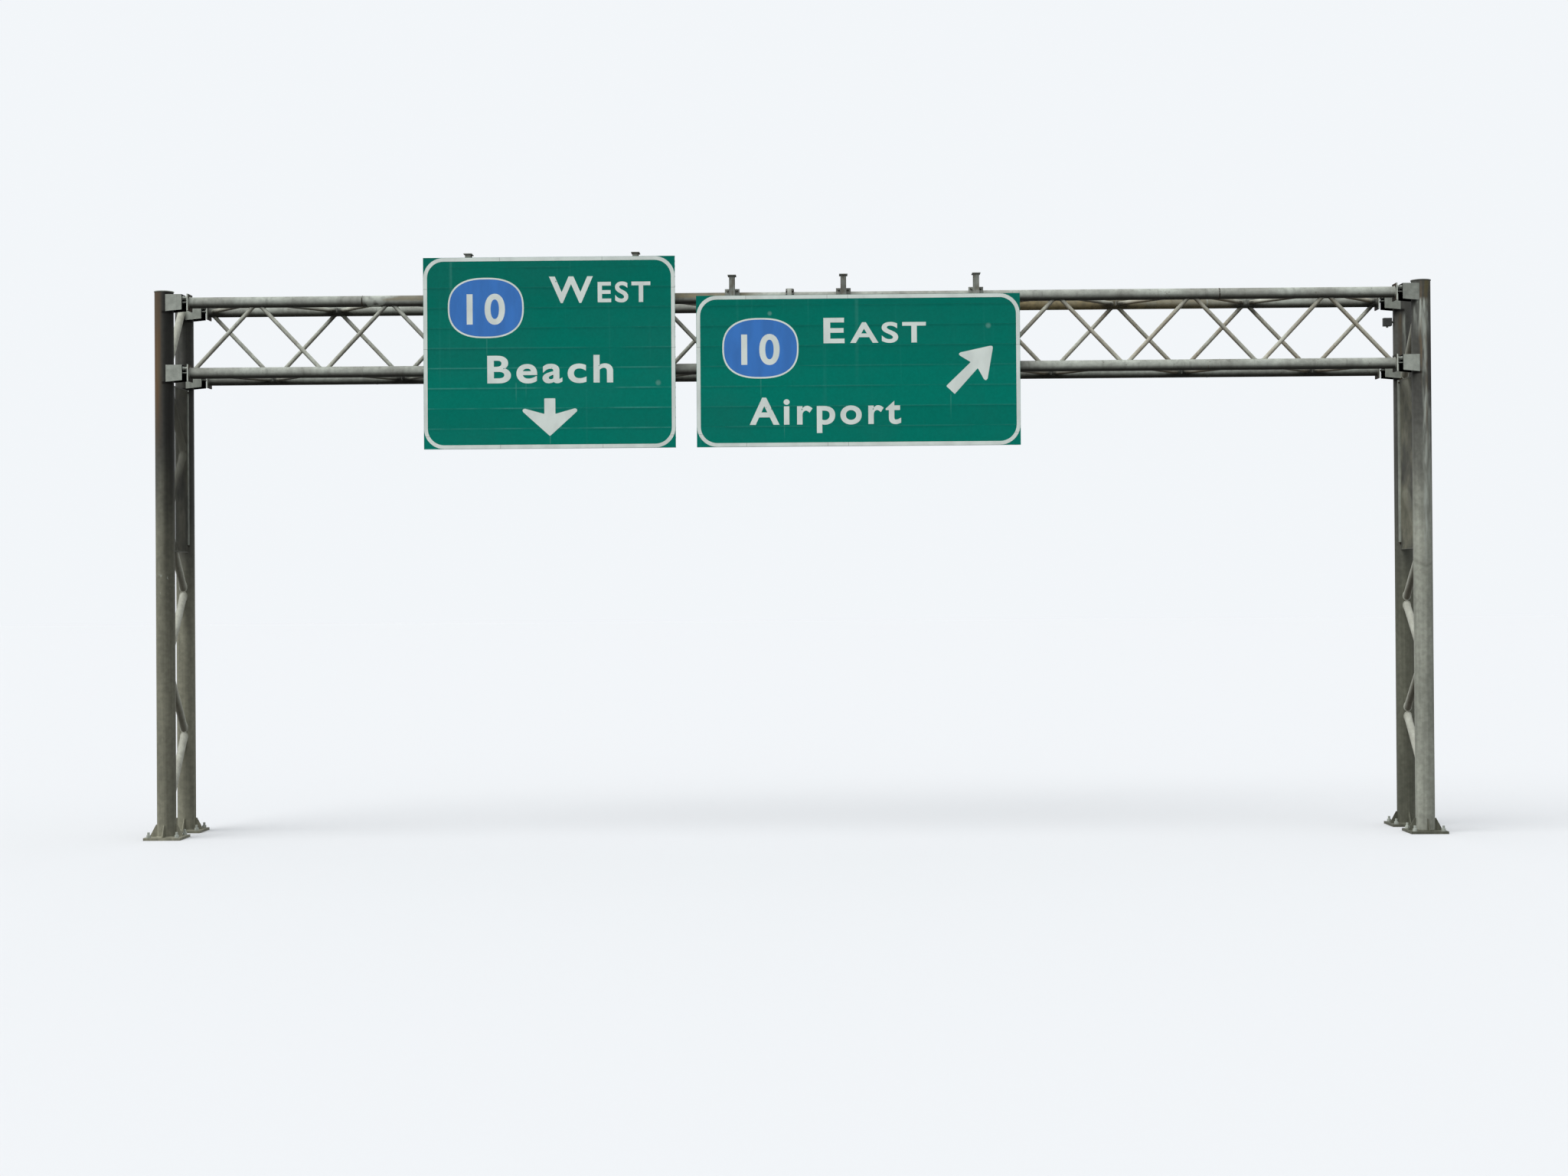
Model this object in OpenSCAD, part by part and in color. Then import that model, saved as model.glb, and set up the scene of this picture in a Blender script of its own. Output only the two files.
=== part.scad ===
// Overhead sign gantry: a four-chord tubular truss on two laced pipe towers, with two hung guide signs.
// Millimetres. X runs along the truss, Y away from the signs' faces, Z up from the undersides of the base plates.

/* [Truss] */
// Number of bays between the end nodes
bays = 9; // [7:1:11]
// Length of one bay along the truss
bay_l = 2032; // [1900:1:2200]
// Height between the axes of the bottom and top chords
truss_h = 1076; // [950:1:1250]
// Depth between the axes of the front and rear chords
truss_d = 1067; // [950:1:1250]
// Height of the bottom chords' axes above the base
chord_z = 7100; // [6800:1:7600]
// Outside diameter of a chord pipe
chord_od = 168.3; // [140:0.1:200]
// Wall of a chord pipe
chord_wall = 7.1; // [5:0.1:12]
// Outside diameter of the web and bracing tubes
web_od = 63.5; // [50:0.1:76]
// Distance from midspan to each half's last web node
splice_set = 250; // [200:1:350]

/* [Splices and end plates] */
// Outside diameter of a midspan splice flange
flange_od = 280; // [240:1:320]
// Thickness of a splice flange
flange_t = 32; // [20:1:45]
// Side of a square chord end plate
end_plate = 254; // [220:1:300]
// Thickness of a chord end plate
end_plate_t = 19; // [12:1:24]
// How far an end plate's outer face stands outside the end node
end_reach = 32; // [24:1:60]

/* [Posts] */
// Outside diameter of a post
post_od = 285; // [265:0.5:310]
// Wall of a post
post_wall = 9.5; // [8:0.5:16]
// Distance from a tower's centre plane to the truss's end nodes
post_offset = 412; // [390:1:480]
// Height of a post's top above the top chords' axes
post_rise = 165; // [150:1:260]
// Thickness of a post cap
cap_t = 12; // [6:1:20]
// How far a cap overhangs its post
cap_over = 7; // [4:1:25]

/* [Tower lacing] */
// Outside diameter of a lacing pipe
lace_od = 114.3; // [90:0.1:130]
// Least height of the lowest lacing node above the base
lace_foot = 350; // [300:1:600]
// How far inside a post's surface the lacing's axes meet
lace_set = 15; // [10:1:24]
// Height of one lacing panel on the left tower
left_panel = 1100; // [900:1:1300]
// Drop of the left tower's first node below the top chords' axes
left_top_drop = 0; // [0:1:60]
// Drop of the left tower's second node below the bottom chords' axes
left_low_drop = 30; // [0:1:80]
// Height of one lacing panel on the right tower
right_panel = 862; // [800:1:1100]
// Drop of the right tower's first node below the top chords' axes
right_top_drop = 196; // [100:1:240]
// Drop of the right tower's second node below the bottom chords' axes
right_low_drop = 148; // [60:1:200]

/* [Base plates] */
// Side of a square base plate
base_side = 560; // [520:1:680]
// Thickness of a base plate
base_t = 38; // [25:1:50]
// Distance between anchor bolt holes
bolt_pitch = 430; // [410:1:470]
// Diameter of an anchor bolt hole
bolt_hole = 41; // [30:1:48]
// Diameter of the drain hole in the middle of a base plate
drain_d = 150; // [80:1:200]
// Height of a base gusset
gusset_h = 180; // [120:1:220]
// Width of a base gusset where it stands on the plate
gusset_w = 105; // [80:1:110]
// Thickness of a base gusset
gusset_t = 16; // [10:1:22]

/* [Seats] */
// Width of a seat box across its side plates
seat_w = 262; // [240:1:264]
// Height of a seat box's top above its chord's axis
seat_top = 121; // [100:1:135]
// Depth of a side plate below the chord's axis at the post
seat_drop_post = 141; // [120:1:160]
// Depth of a side plate below the chord's axis at the free end
seat_drop_end = 113; // [90:1:125]
// Thickness of the seat plates
seat_t = 12; // [8:1:16]
// Clear gap between a seat box and the chord's end plate
seat_gap = 76; // [60:1:90]
// Width of the shelf that reaches the end plate
shelf_w = 200; // [160:1:230]
// Diameter of the stud bolts between seat and end plate
stud_d = 32; // [24:1:38]
// Distance between the two stud bolts
stud_pitch = 150; // [120:1:190]
// Height of the stud bolts above the chord's axis
stud_rise = 68; // [50:1:80]

/* [Anti-climb screens] */
// Height of a screen
screen_h = 2640; // [2000:1:3000]
// Distance from the bottom chords' axes down to a screen's top
screen_drop = 165; // [165:1:260]
// Distance of a screen from its tower's centre plane
screen_set = 80; // [72:1:110]
// Thickness of a screen's sheet
screen_t = 3; // [2:0.5:6]
// Width of the folded rear edge
screen_fold = 36; // [15:1:50]

/* [Signs] */
// Distance of the left sign's left edge from midspan
sign_a_left = 5536; // [5450:1:5600]
// Width of the left sign
sign_a_w = 3810; // [3700:1:3850]
// Height of the left sign
sign_a_h = 2896; // [2700:1:3048]
// Distance of the right sign's left edge from midspan
sign_b_left = 1408; // [1350:1:1450]
// Width of the right sign
sign_b_w = 4877; // [4700:1:5000]
// Height of the right sign
sign_b_h = 2286; // [2100:1:2438]
// Distance from the bottom chords' axes down to the signs' bottom edges
sign_drop = 1210; // [1100:1:1300]
// Height of one extruded sign panel
panel_h = 304.8; // [250:0.1:320]
// Depth of an extruded sign panel
panel_d = 50.8; // [40:0.1:60]
// Thickness of a sign panel's face and ribs
panel_t = 3.2; // [2.5:0.1:5]
// Width of the lips on a panel's ribs
panel_lip = 24; // [16:1:36]

/* [Hangers] */
// Width of a hanger's flanges
hanger_w = 85; // [70:1:102]
// Depth of a hanger
hanger_d = 152.4; // [130:0.1:180]
// Thickness of a hanger's flanges
hanger_tf = 9; // [7:1:12]
// Thickness of a hanger's web
hanger_tw = 6; // [5:1:9]
// Distance from a sign's bottom edge up to its hangers' lower ends
hanger_foot = 25; // [10:1:100]
// Height of the left hangers above their sign
hanger_a_rise = 68; // [50:1:150]
// Height of the right hangers above their sign
hanger_b_rise = 319; // [300:1:400]
// Distance of the left sign's first hanger from its left edge
hanger_a1 = 672; // [640:1:700]
// Distance of the left sign's second hanger from its left edge
hanger_a2 = 3210; // [3150:1:3260]
// Distance of the right sign's first hanger from its left edge
hanger_b1 = 540; // [500:1:580]
// Distance of the right sign's second hanger from its left edge
hanger_b2 = 2225; // [2180:1:2260]
// Distance of the right sign's third hanger from its left edge
hanger_b3 = 4230; // [4180:1:4280]
// Width of a hanger's top plate
top_plate_w = 126; // [100:1:160]
// Depth of a hanger's top plate
top_plate_d = 200; // [160:1:240]
// Thickness of a hanger's top plate
top_plate_t = 12; // [8:1:20]

/* [Clamps] */
// Height of a clamp angle
clamp_h = 246; // [225:1:280]
// Reach of a clamp angle's outer leg from the hanger's centre
clamp_w = 112; // [100:1:140]
// Length of a clamp angle's inner leg along the hanger's web
clamp_leg = 76; // [50:1:100]
// Thickness of a clamp angle
clamp_t = 9.5; // [6:0.5:12]
// Diameter of a U-bolt's rod
ubolt_d = 16; // [12:1:20]
// Distance of a U-bolt from the hanger's centre
ubolt_set = 72; // [64:1:85]
// Length of a U-bolt's thread in front of its angle
ubolt_out = 32; // [20:1:50]

/* [Detector] */
// Length of the box along the truss
box_l = 131; // [100:1:160]
// Depth of the box
box_d = 100; // [70:1:130]
// Height of the box
box_h = 126; // [90:1:150]
// Height of the box's middle above the bottom chords' axes
box_rise = 754; // [500:1:800]
// Clear distance between the box and its post
box_gap = 26; // [15:1:80]
// Diameter of the stub that carries the box
stub_d = 34; // [20:1:50]
// Diameter of the sensor eye under the box
eye_d = 36; // [20:1:50]
// Height of the sensor eye
eye_h = 22; // [10:1:40]

/* [Hidden] */

// Curves and the sides of a lattice bar
$fn = 48;
bar_sides = 8;
lace_sides = 12;

// How far a cutting shape runs past what it cuts
past = 1;

// Colours of galvanised steel, weathered steel, extruded aluminium and sign sheeting
steel = [0.58, 0.60, 0.57];
aged = [0.47, 0.46, 0.42];
green = [0.05, 0.40, 0.33];
grey = [0.36, 0.37, 0.37];

// Lengths and heights that follow from the sizes above
span = bays * bay_l;
chord_r = chord_od / 2;
post_r = post_od / 2;
post_x = span / 2 + post_offset;
zb = chord_z;
zt = chord_z + truss_h;
post_top = zt + post_rise;
seat_l = post_offset - end_reach - seat_gap;
sign_z = zb - sign_drop;

// Reach in front of and behind the truss's middle, and the shift that centres the whole in Y
front_reach = truss_d / 2 + chord_r + hanger_d + panel_d;
rear_reach = truss_d / 2 + base_side / 2;
y_mid = (max(front_reach, rear_reach) - rear_reach) / 2;
yf = y_mid - truss_d / 2;
yr = y_mid + truss_d / 2;

// Planes of the hangers' two flange faces and of the signs' faces
y_hanger = yf - chord_r;
y_panel = y_hanger - hanger_d;
y_face = y_panel - panel_d;

// Distance of web node k from midspan, the lean of bar k, and the chord length that the bar takes up
function node_x(k) = k == bays ? splice_set : span / 2 - k * bay_l / 2;
function bar_lean(k) = (node_x(k) - node_x(k + 1)) / truss_h;
function bar_reach(k) = (chord_r + ubolt_d) * bar_lean(k)
    + web_od / 2 * sqrt(1 + pow(bar_lean(k), 2)) + ubolt_d / 2;

// True where a U-bolt at x clears the bars at every node of one chord (parity 0 bottom, 1 top)
function rod_clear(x, parity) = len([for (k = [0:bays])
    let (d = abs(x) - node_x(k))
    if (k % 2 == parity && (d >= 0 ? (k > 0 && d < bar_reach(k - 1)) : (k < bays && -d < bar_reach(k)))) k]) == 0;

// Sides of a tower or half: left is -1, right is 1
module pipe_x(x0, x1, d) {
    translate([min(x0, x1), 0, 0]) rotate([0, 90, 0]) cylinder(d = d, h = abs(x1 - x0));
}

// Straight bar between two points
module bar(p, q, d, sides) {
    v = q - p;
    length = norm(v);
    translate(p) rotate([0, acos(v.z / length), atan2(v.y, v.x)])
        cylinder(d = d, h = length, $fn = sides);
}

module post(side, y) {
    color(aged) translate([side * post_x, y, base_t]) difference() {
        cylinder(d = post_od, h = post_top - base_t);
        translate([0, 0, -past]) cylinder(d = post_od - 2 * post_wall, h = post_top + 2 * past);
    }
}

module post_caps(side) {
    color(steel) for (y = [yf, yr])
        translate([side * post_x, y, post_top]) cylinder(d = post_od + 2 * cap_over, h = cap_t);
}

module post_cut(side) {
    for (y = [yf, yr])
        translate([side * post_x, y, 0]) cylinder(d = post_od, h = post_top);
}

// Zigzag of pipes between a tower's posts, coped to them; start is -1 for a first node on the front post
module lacing(side, start, top_drop, low_drop, panel) {
    half = truss_d / 2 - post_r + lace_set;
    count = floor((zb - low_drop - lace_foot) / panel);
    heights = concat([zt - top_drop], [for (i = [0:count]) zb - low_drop - i * panel]);
    color(aged) difference() {
        union() for (i = [0:count]) {
            s = start * (i % 2 == 0 ? 1 : -1);
            p = [side * post_x, y_mid + s * half, heights[i]];
            q = [side * post_x, y_mid - s * half, heights[i + 1]];
            u = (q - p) / norm(q - p) * lace_od * 0.8;
            bar(p - u, q + u, lace_od, lace_sides);
        }
        post_cut(side);
    }
}

module base(side, y) {
    color(aged) translate([side * post_x, y, 0]) {
        difference() {
            translate([-base_side / 2, -base_side / 2, 0]) cube([base_side, base_side, base_t]);
            for (i = [-1, 1], j = [-1, 1])
                translate([i * bolt_pitch / 2, j * bolt_pitch / 2, -past])
                    cylinder(d = bolt_hole, h = base_t + 2 * past);
            translate([0, 0, -past]) cylinder(d = drain_d, h = base_t + 2 * past);
        }
        difference() {
            for (a = [0:90:270]) rotate([0, 0, a]) gusset();
            translate([0, 0, base_t - past]) cylinder(d = post_od, h = gusset_h + 2 * past);
        }
    }
}

// Upright triangular plate with its outer corner cut square
module gusset() {
    nose = 20;
    translate([0, gusset_t / 2, base_t]) rotate([90, 0, 0]) linear_extrude(gusset_t)
        polygon([[0, 0], [post_r + gusset_w, 0], [post_r + gusset_w, nose], [post_r + nose, gusset_h], [0, gusset_h]]);
}

// Welded box on a post that carries one chord end
module seat(side, y, z) {
    inner = seat_w / 2 - seat_t;
    color(steel) translate([side * post_x, y, z]) mirror([side > 0 ? 1 : 0, 0, 0]) {
        difference() {
            union() {
                for (j = [-1, 1]) translate([0, j * (inner + seat_t / 2) + seat_t / 2, 0]) rotate([90, 0, 0])
                    linear_extrude(seat_t) polygon([[0, -seat_drop_post], [seat_l, -seat_drop_end],
                        [seat_l, seat_top], [0, seat_top]]);
                translate([0, -seat_w / 2, seat_top - seat_t]) cube([seat_l, seat_w, seat_t]);
                translate([seat_l - seat_t, -seat_w / 2, 0]) cube([seat_t, seat_w, seat_top]);
                translate([0, -seat_w / 2, -seat_t / 2]) cube([seat_l, seat_w, seat_t]);
            }
            translate([0, 0, -seat_drop_post - past]) cylinder(d = post_od, h = seat_drop_post + seat_top + 2 * past);
        }
        translate([seat_l - seat_t, -shelf_w / 2, -seat_t / 2]) cube([seat_gap + seat_t, shelf_w, seat_t]);
        for (j = [-1, 1]) translate([seat_l - seat_t, j * stud_pitch / 2, stud_rise]) rotate([0, 90, 0])
            cylinder(d = stud_d, h = seat_gap + seat_t);
    }
}

module seats(side, y) {
    seat(side, y, zb);
    seat(side, y, zt);
}

// Flat sheet between a tower's posts with its rear edge folded towards the road
module screen(side) {
    reach = sqrt(pow(post_r, 2) - pow(screen_set, 2));
    z0 = zb - screen_drop - screen_h;
    color(aged) difference() {
        union() {
            translate([side * (post_x - screen_set) - screen_t / 2, yf, z0]) cube([screen_t, truss_d, screen_h]);
            translate([side * (post_x - screen_set - screen_fold / 2) - screen_fold / 2, yr - reach - 2 * screen_t, z0])
                cube([screen_fold, screen_t, screen_h]);
        }
        post_cut(side);
    }
}

// Half of one chord: pipe, splice flange at midspan and end plate at the tower
module chord_half(side, y, z) {
    x_end = side * (span / 2 + end_reach);
    x_weld = side * (span / 2 + end_reach - end_plate_t);
    color(steel) translate([0, y, z]) difference() {
        union() {
            pipe_x(0, x_weld, chord_od);
            pipe_x(0, side * flange_t, flange_od);
            translate([min(x_weld, x_end), -end_plate / 2, -end_plate / 2])
                cube([end_plate_t, end_plate, end_plate]);
        }
        pipe_x(-side * past, x_weld, chord_od - 2 * chord_wall);
    }
}

// Zigzag of bars between two chords of one half; even nodes lie on chord a, odd nodes on chord b, each [y, z]
module zigzag(side, a, b) {
    color(steel) difference() {
        for (k = [0:bays - 1]) {
            from = k % 2 == 0 ? a : b;
            to = k % 2 == 0 ? b : a;
            bar([side * node_x(k), from[0], from[1]], [side * node_x(k + 1), to[0], to[1]], web_od, bar_sides);
        }
        for (c = [a, b]) translate([0, c[0], c[1]]) pipe_x(0, side * (span / 2 + web_od), chord_od);
    }
}

// Section of one extruded panel: face, two edge ribs and a middle rib, with lips
module panel_section(h) {
    square([panel_t, h]);
    for (z = [0, h - panel_t]) translate([0, z]) square([panel_d, panel_t]);
    translate([0, (h - panel_t) / 2]) square([panel_d, panel_t]);
    translate([panel_d - panel_t, 0]) square([panel_t, panel_lip / 2]);
    translate([panel_d - panel_t, h - panel_lip / 2]) square([panel_t, panel_lip / 2]);
    translate([panel_d - panel_t, (h - panel_lip) / 2]) square([panel_t, panel_lip]);
}

// Sign board of stacked extruded panels, with the remainder in a narrower one at the top
module sign(left, w, h) {
    full = floor(h / panel_h + 0.001);
    rest = h - full * panel_h;
    color(green) translate([-left, y_face, sign_z]) rotate([90, 0, 90]) linear_extrude(w) {
        for (i = [0:full - 1]) translate([0, i * panel_h]) panel_section(panel_h);
        if (rest > 3 * panel_lip) translate([0, full * panel_h]) panel_section(rest);
    }
}

// I-beams behind one sign with a plate on top of each
module hangers(places, top) {
    z0 = sign_z + hanger_foot;
    beam_h = top - top_plate_t - z0;
    color(aged) for (x = places) translate([x, y_panel, z0]) {
        for (y = [0, hanger_d - hanger_tf]) translate([-hanger_w / 2, y, 0]) cube([hanger_w, hanger_tf, beam_h]);
        translate([-hanger_tw / 2, 0, 0]) cube([hanger_tw, hanger_d, beam_h]);
        translate([-top_plate_w / 2, (hanger_d - top_plate_d) / 2, beam_h])
            cube([top_plate_w, top_plate_d, top_plate_t]);
    }
}

// Angle on one side of a hanger and the U-bolt that ties it to a front chord
module clamp(x, z, side, bolted) {
    bend = chord_r + ubolt_d / 2;
    y_leg = y_hanger - hanger_tf - clamp_t;
    color(steel) translate([x, 0, z]) mirror([side < 0 ? 1 : 0, 0, 0]) {
        translate([hanger_tw / 2, y_leg, -clamp_h / 2]) cube([clamp_w - hanger_tw / 2, clamp_t, clamp_h]);
        translate([hanger_tw / 2, y_leg + clamp_t - clamp_leg, -clamp_h / 2]) cube([clamp_t, clamp_leg, clamp_h]);
        if (bolted) translate([ubolt_set, yf, 0]) {
            rotate([90, 0, 90]) rotate_extrude(angle = 180, start = -90) translate([bend, 0]) circle(d = ubolt_d);
            for (j = [-1, 1]) translate([0, 0, j * bend]) rotate([90, 0, 0])
                cylinder(d = ubolt_d, h = chord_r + hanger_tf + clamp_t + ubolt_out);
        }
    }
}

module clamps(places) {
    for (x = places, level = [0, 1], side = [-1, 1])
        clamp(x, level == 0 ? zb : zt, side, rod_clear(x + side * ubolt_set, level));
}

module detector_box() {
    color(grey) translate([post_x - post_r - box_gap - box_l, yr - box_d / 2, zb + box_rise - box_h / 2]) {
        cube([box_l, box_d, box_h]);
        translate([box_l / 2, box_d / 2, -eye_h]) cylinder(d = eye_d, h = eye_h);
    }
}

module detector_stub() {
    x0 = post_x - post_r - box_gap;
    color(grey) difference() {
        translate([0, yr, zb + box_rise]) pipe_x(x0, x0 + box_gap + stub_d, stub_d);
        post_cut(1);
    }
}

left_hangers = [hanger_a1 - sign_a_left, hanger_a2 - sign_a_left];
right_hangers = [hanger_b1 - sign_b_left, hanger_b2 - sign_b_left, hanger_b3 - sign_b_left];

post(-1, yf);  // left_post_front
post(-1, yr);  // left_post_rear
post(1, yf);  // right_post_front
post(1, yr);  // right_post_rear
post_caps(-1);  // left_post_caps
post_caps(1);  // right_post_caps
lacing(-1, 1, left_top_drop, left_low_drop, left_panel);  // left_lacing
lacing(1, -1, right_top_drop, right_low_drop, right_panel);  // right_lacing
base(-1, yf);  // left_base_front
base(-1, yr);  // left_base_rear
base(1, yf);  // right_base_front
base(1, yr);  // right_base_rear
seats(-1, yf);  // left_front_seats
seats(-1, yr);  // left_rear_seats
seats(1, yf);  // right_front_seats
seats(1, yr);  // right_rear_seats
screen(-1);  // left_screen
screen(1);  // right_screen
chord_half(-1, yf, zt);  // front_top_chord_left
chord_half(1, yf, zt);  // front_top_chord_right
chord_half(-1, yf, zb);  // front_bottom_chord_left
chord_half(1, yf, zb);  // front_bottom_chord_right
chord_half(-1, yr, zt);  // rear_top_chord_left
chord_half(1, yr, zt);  // rear_top_chord_right
chord_half(-1, yr, zb);  // rear_bottom_chord_left
chord_half(1, yr, zb);  // rear_bottom_chord_right
zigzag(-1, [yf, zb], [yf, zt]);  // front_web_left
zigzag(1, [yf, zb], [yf, zt]);  // front_web_right
zigzag(-1, [yr, zt], [yr, zb]);  // rear_web_left
zigzag(1, [yr, zt], [yr, zb]);  // rear_web_right
zigzag(-1, [yr, zt], [yf, zt]);  // top_bracing_left
zigzag(1, [yr, zt], [yf, zt]);  // top_bracing_right
zigzag(-1, [yf, zb], [yr, zb]);  // bottom_bracing_left
zigzag(1, [yf, zb], [yr, zb]);  // bottom_bracing_right
sign(sign_a_left, sign_a_w, sign_a_h);  // left_sign
sign(sign_b_left, sign_b_w, sign_b_h);  // right_sign
hangers(left_hangers, sign_z + sign_a_h + hanger_a_rise);  // left_sign_hangers
hangers(right_hangers, sign_z + sign_b_h + hanger_b_rise);  // right_sign_hangers
clamps(left_hangers);  // left_sign_clamps
clamps(right_hangers);  // right_sign_clamps
detector_box();
detector_stub();
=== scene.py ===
"""Overhead sign gantry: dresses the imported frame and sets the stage.

Metres, in the frame's own axes: X along the truss, Y away from the signs' faces, Z up from the base plates.
The file is laid out as an add-on and is run as a script.
"""

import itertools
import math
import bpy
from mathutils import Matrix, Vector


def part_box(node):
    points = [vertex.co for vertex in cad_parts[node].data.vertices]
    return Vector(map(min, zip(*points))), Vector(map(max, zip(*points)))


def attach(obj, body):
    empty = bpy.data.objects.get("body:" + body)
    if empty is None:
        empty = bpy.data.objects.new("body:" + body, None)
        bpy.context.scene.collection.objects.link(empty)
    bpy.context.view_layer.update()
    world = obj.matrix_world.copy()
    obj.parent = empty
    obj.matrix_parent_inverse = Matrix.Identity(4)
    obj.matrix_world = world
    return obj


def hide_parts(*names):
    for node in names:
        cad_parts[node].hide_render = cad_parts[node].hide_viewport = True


bl_info = {
    "name": "Overhead sign gantry",
    "version": (1, 0, 0),
    "blender": (4, 5, 0),
    "location": "3D View > Sidebar > Gantry",
    "description": "Dresses the packed frame of an overhead sign gantry",
    "category": "Add Mesh",
}

import bpy
import numpy as np
from bpy.props import FloatProperty, FloatVectorProperty, IntProperty, PointerProperty, StringProperty
from mathutils import Matrix, Vector

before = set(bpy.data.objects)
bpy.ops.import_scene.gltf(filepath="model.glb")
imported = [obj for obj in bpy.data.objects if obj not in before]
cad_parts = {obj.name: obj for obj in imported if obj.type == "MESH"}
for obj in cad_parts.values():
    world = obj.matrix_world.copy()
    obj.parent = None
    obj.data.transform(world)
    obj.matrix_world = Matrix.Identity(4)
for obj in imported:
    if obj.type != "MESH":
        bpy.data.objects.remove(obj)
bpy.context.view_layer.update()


# Places read from the frame

def corners(node):
    """Lowest and highest corner of a node as arrays."""
    low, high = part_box(node)
    return np.array(low, float), np.array(high, float)


def middle(node):
    """Centre of a node's box."""
    low, high = corners(node)
    return (low + high) / 2


FRONT = middle("front_top_chord_left")[1]
REAR = middle("rear_top_chord_left")[1]
TOP = middle("front_top_chord_left")[2]
BOTTOM = middle("front_bottom_chord_left")[2]
DEEP = (FRONT + REAR) / 2
POST_X = middle("right_post_front")[0]
POST_LOW, POST_HIGH = corners("right_post_front")
POST_R = (POST_HIGH[0] - POST_LOW[0]) / 2
END_X = corners("front_top_chord_right")[1][0]
BASE_TOP = POST_LOW[2]
LEFT_LOW = corners("left_sign")[0]
RIGHT_LOW = corners("right_sign")[0]
# A seat's foot lies this far below its chord's axis, and its side plates' inner faces this far beside it
SEAT_DROP = 0.141
SEAT_INNER = 0.119
# How far each screen's mesh stops above its CAD sheet's foot
SCREEN_LIFT = {"left": 0.09, "right": 0.0}
SIDES = (("left", -1), ("right", 1))
ROWS = (("front", FRONT), ("rear", REAR))
LEVELS = (("top", TOP), ("bottom", BOTTOM))


# Sizes and colours that a user would change

def length(name, description, default):
    """Length property in metres."""
    return FloatProperty(name=name, description=description, default=default, min=0.0, precision=4,
                         subtype="DISTANCE", unit="LENGTH")


def colour(name, description, default):
    """Linear colour property."""
    return FloatVectorProperty(name=name, description=description, default=default, size=3, min=0.0, max=1.0,
                               subtype="COLOR")


def text(name, description, default):
    """Text property."""
    return StringProperty(name=name, description=description, default=default)


class GANTRY_PG_truss(bpy.types.PropertyGroup):
    bays: IntProperty(name="Bays", description="Number of bays between the end nodes", default=9, min=3)
    bay: length("Bay", "Length of one bay along the truss", 2.032)
    chord: length("Chord", "Outside diameter of a chord pipe", 0.1683)
    tube: length("Tube", "Outside diameter of a web or bracing tube", 0.0635)
    splice: length("Splice node", "Distance from midspan to each half's last web node", 0.25)
    flange: length("Splice flange", "Outside diameter of a splice flange", 0.28)
    flange_t: length("Flange thickness", "Thickness of a splice flange", 0.032)
    plate_t: length("End plate thickness", "Thickness of a chord end plate", 0.019)
    bead: length("Weld bead", "Radius of the weld bead round a tube's end", 0.0055)
    butt: length("Butt weld", "Distance of the chord pipes' butt welds from midspan", 6.51)


class GANTRY_PG_tower(bpy.types.PropertyGroup):
    apart: length("Ends apart", "How far a lacing pipe's end stands off its CAD node along the post", 0.07)
    pipe: length("Lacing pipe", "Outside diameter of a lacing pipe", 0.1143)
    foot: length("Lowest node", "Least height of the lowest lacing node", 0.35)
    inset: length("Lacing inset", "How far inside a post's surface the lacing's axes meet", 0.015)
    left_panel: length("Left panel", "Height of one lacing panel on the left tower", 1.1)
    left_top: length("Left first node", "Drop of the left tower's first node below the top chords", 0.0)
    left_low: length("Left second node", "Drop of its second node below the bottom chords", 0.03)
    right_panel: length("Right panel", "Height of one lacing panel on the right tower", 0.862)
    right_top: length("Right first node", "Drop of the right tower's first node below the top chords", 0.196)
    right_low: length("Right second node", "Drop of its second node below the bottom chords", 0.148)
    bead: length("Weld bead", "Radius of the weld bead round a pipe's end", 0.008)
    bolt_pitch: length("Anchor pitch", "Distance between the anchor bolts", 0.43)
    bolt: length("Anchor bolt", "Diameter of an anchor bolt", 0.038)
    bolt_out: length("Anchor stand-out", "Height of an anchor bolt above its base plate", 0.085)


class GANTRY_PG_screen(bpy.types.PropertyGroup):
    short_fold: length("Fold stop", "How far above the mesh's foot its folded edge ends", 0.12)
    short: length("Short way", "Height of one diamond of the expanded metal", 0.0234)
    long: length("Long way", "Width of one diamond of the expanded metal", 0.0508)
    strand: length("Strand", "Width of a strand in the sheet's plane", 0.0046)
    depth: length("Depth", "Thickness of a strand through the sheet", 0.0056)
    strip: length("Edge strip", "Width of the strips along the screen's edges", 0.019)


class GANTRY_PG_sign(bpy.types.PropertyGroup):
    panel: length("Panel", "Height of one extruded panel", 0.3048)
    depth: length("Depth", "Depth of an extruded panel", 0.0508)
    sheet: length("Sheet", "Thickness of a panel's face and ribs", 0.0032)
    lip: length("Lip", "Width of the lips on a panel's ribs", 0.024)
    border: length("Border", "Width of the white border", 0.056)
    corner: length("Corner", "Outer radius of the border's corners", 0.305)
    raised: length("Legend thickness", "How far border and legend stand off the panels", 0.0011)
    left_route: text("Left marker", "Figure in the left sign's marker", "10")
    right_route: text("Right marker", "Figure in the right sign's marker", "10")
    left_way: text("Left heading", "Heading word of the left sign", "West")
    right_way: text("Right heading", "Heading word of the right sign", "East")
    left_place: text("Left line", "Second line of the left sign", "Beach")
    right_place: text("Right line", "Second line of the right sign", "Airport")


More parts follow.
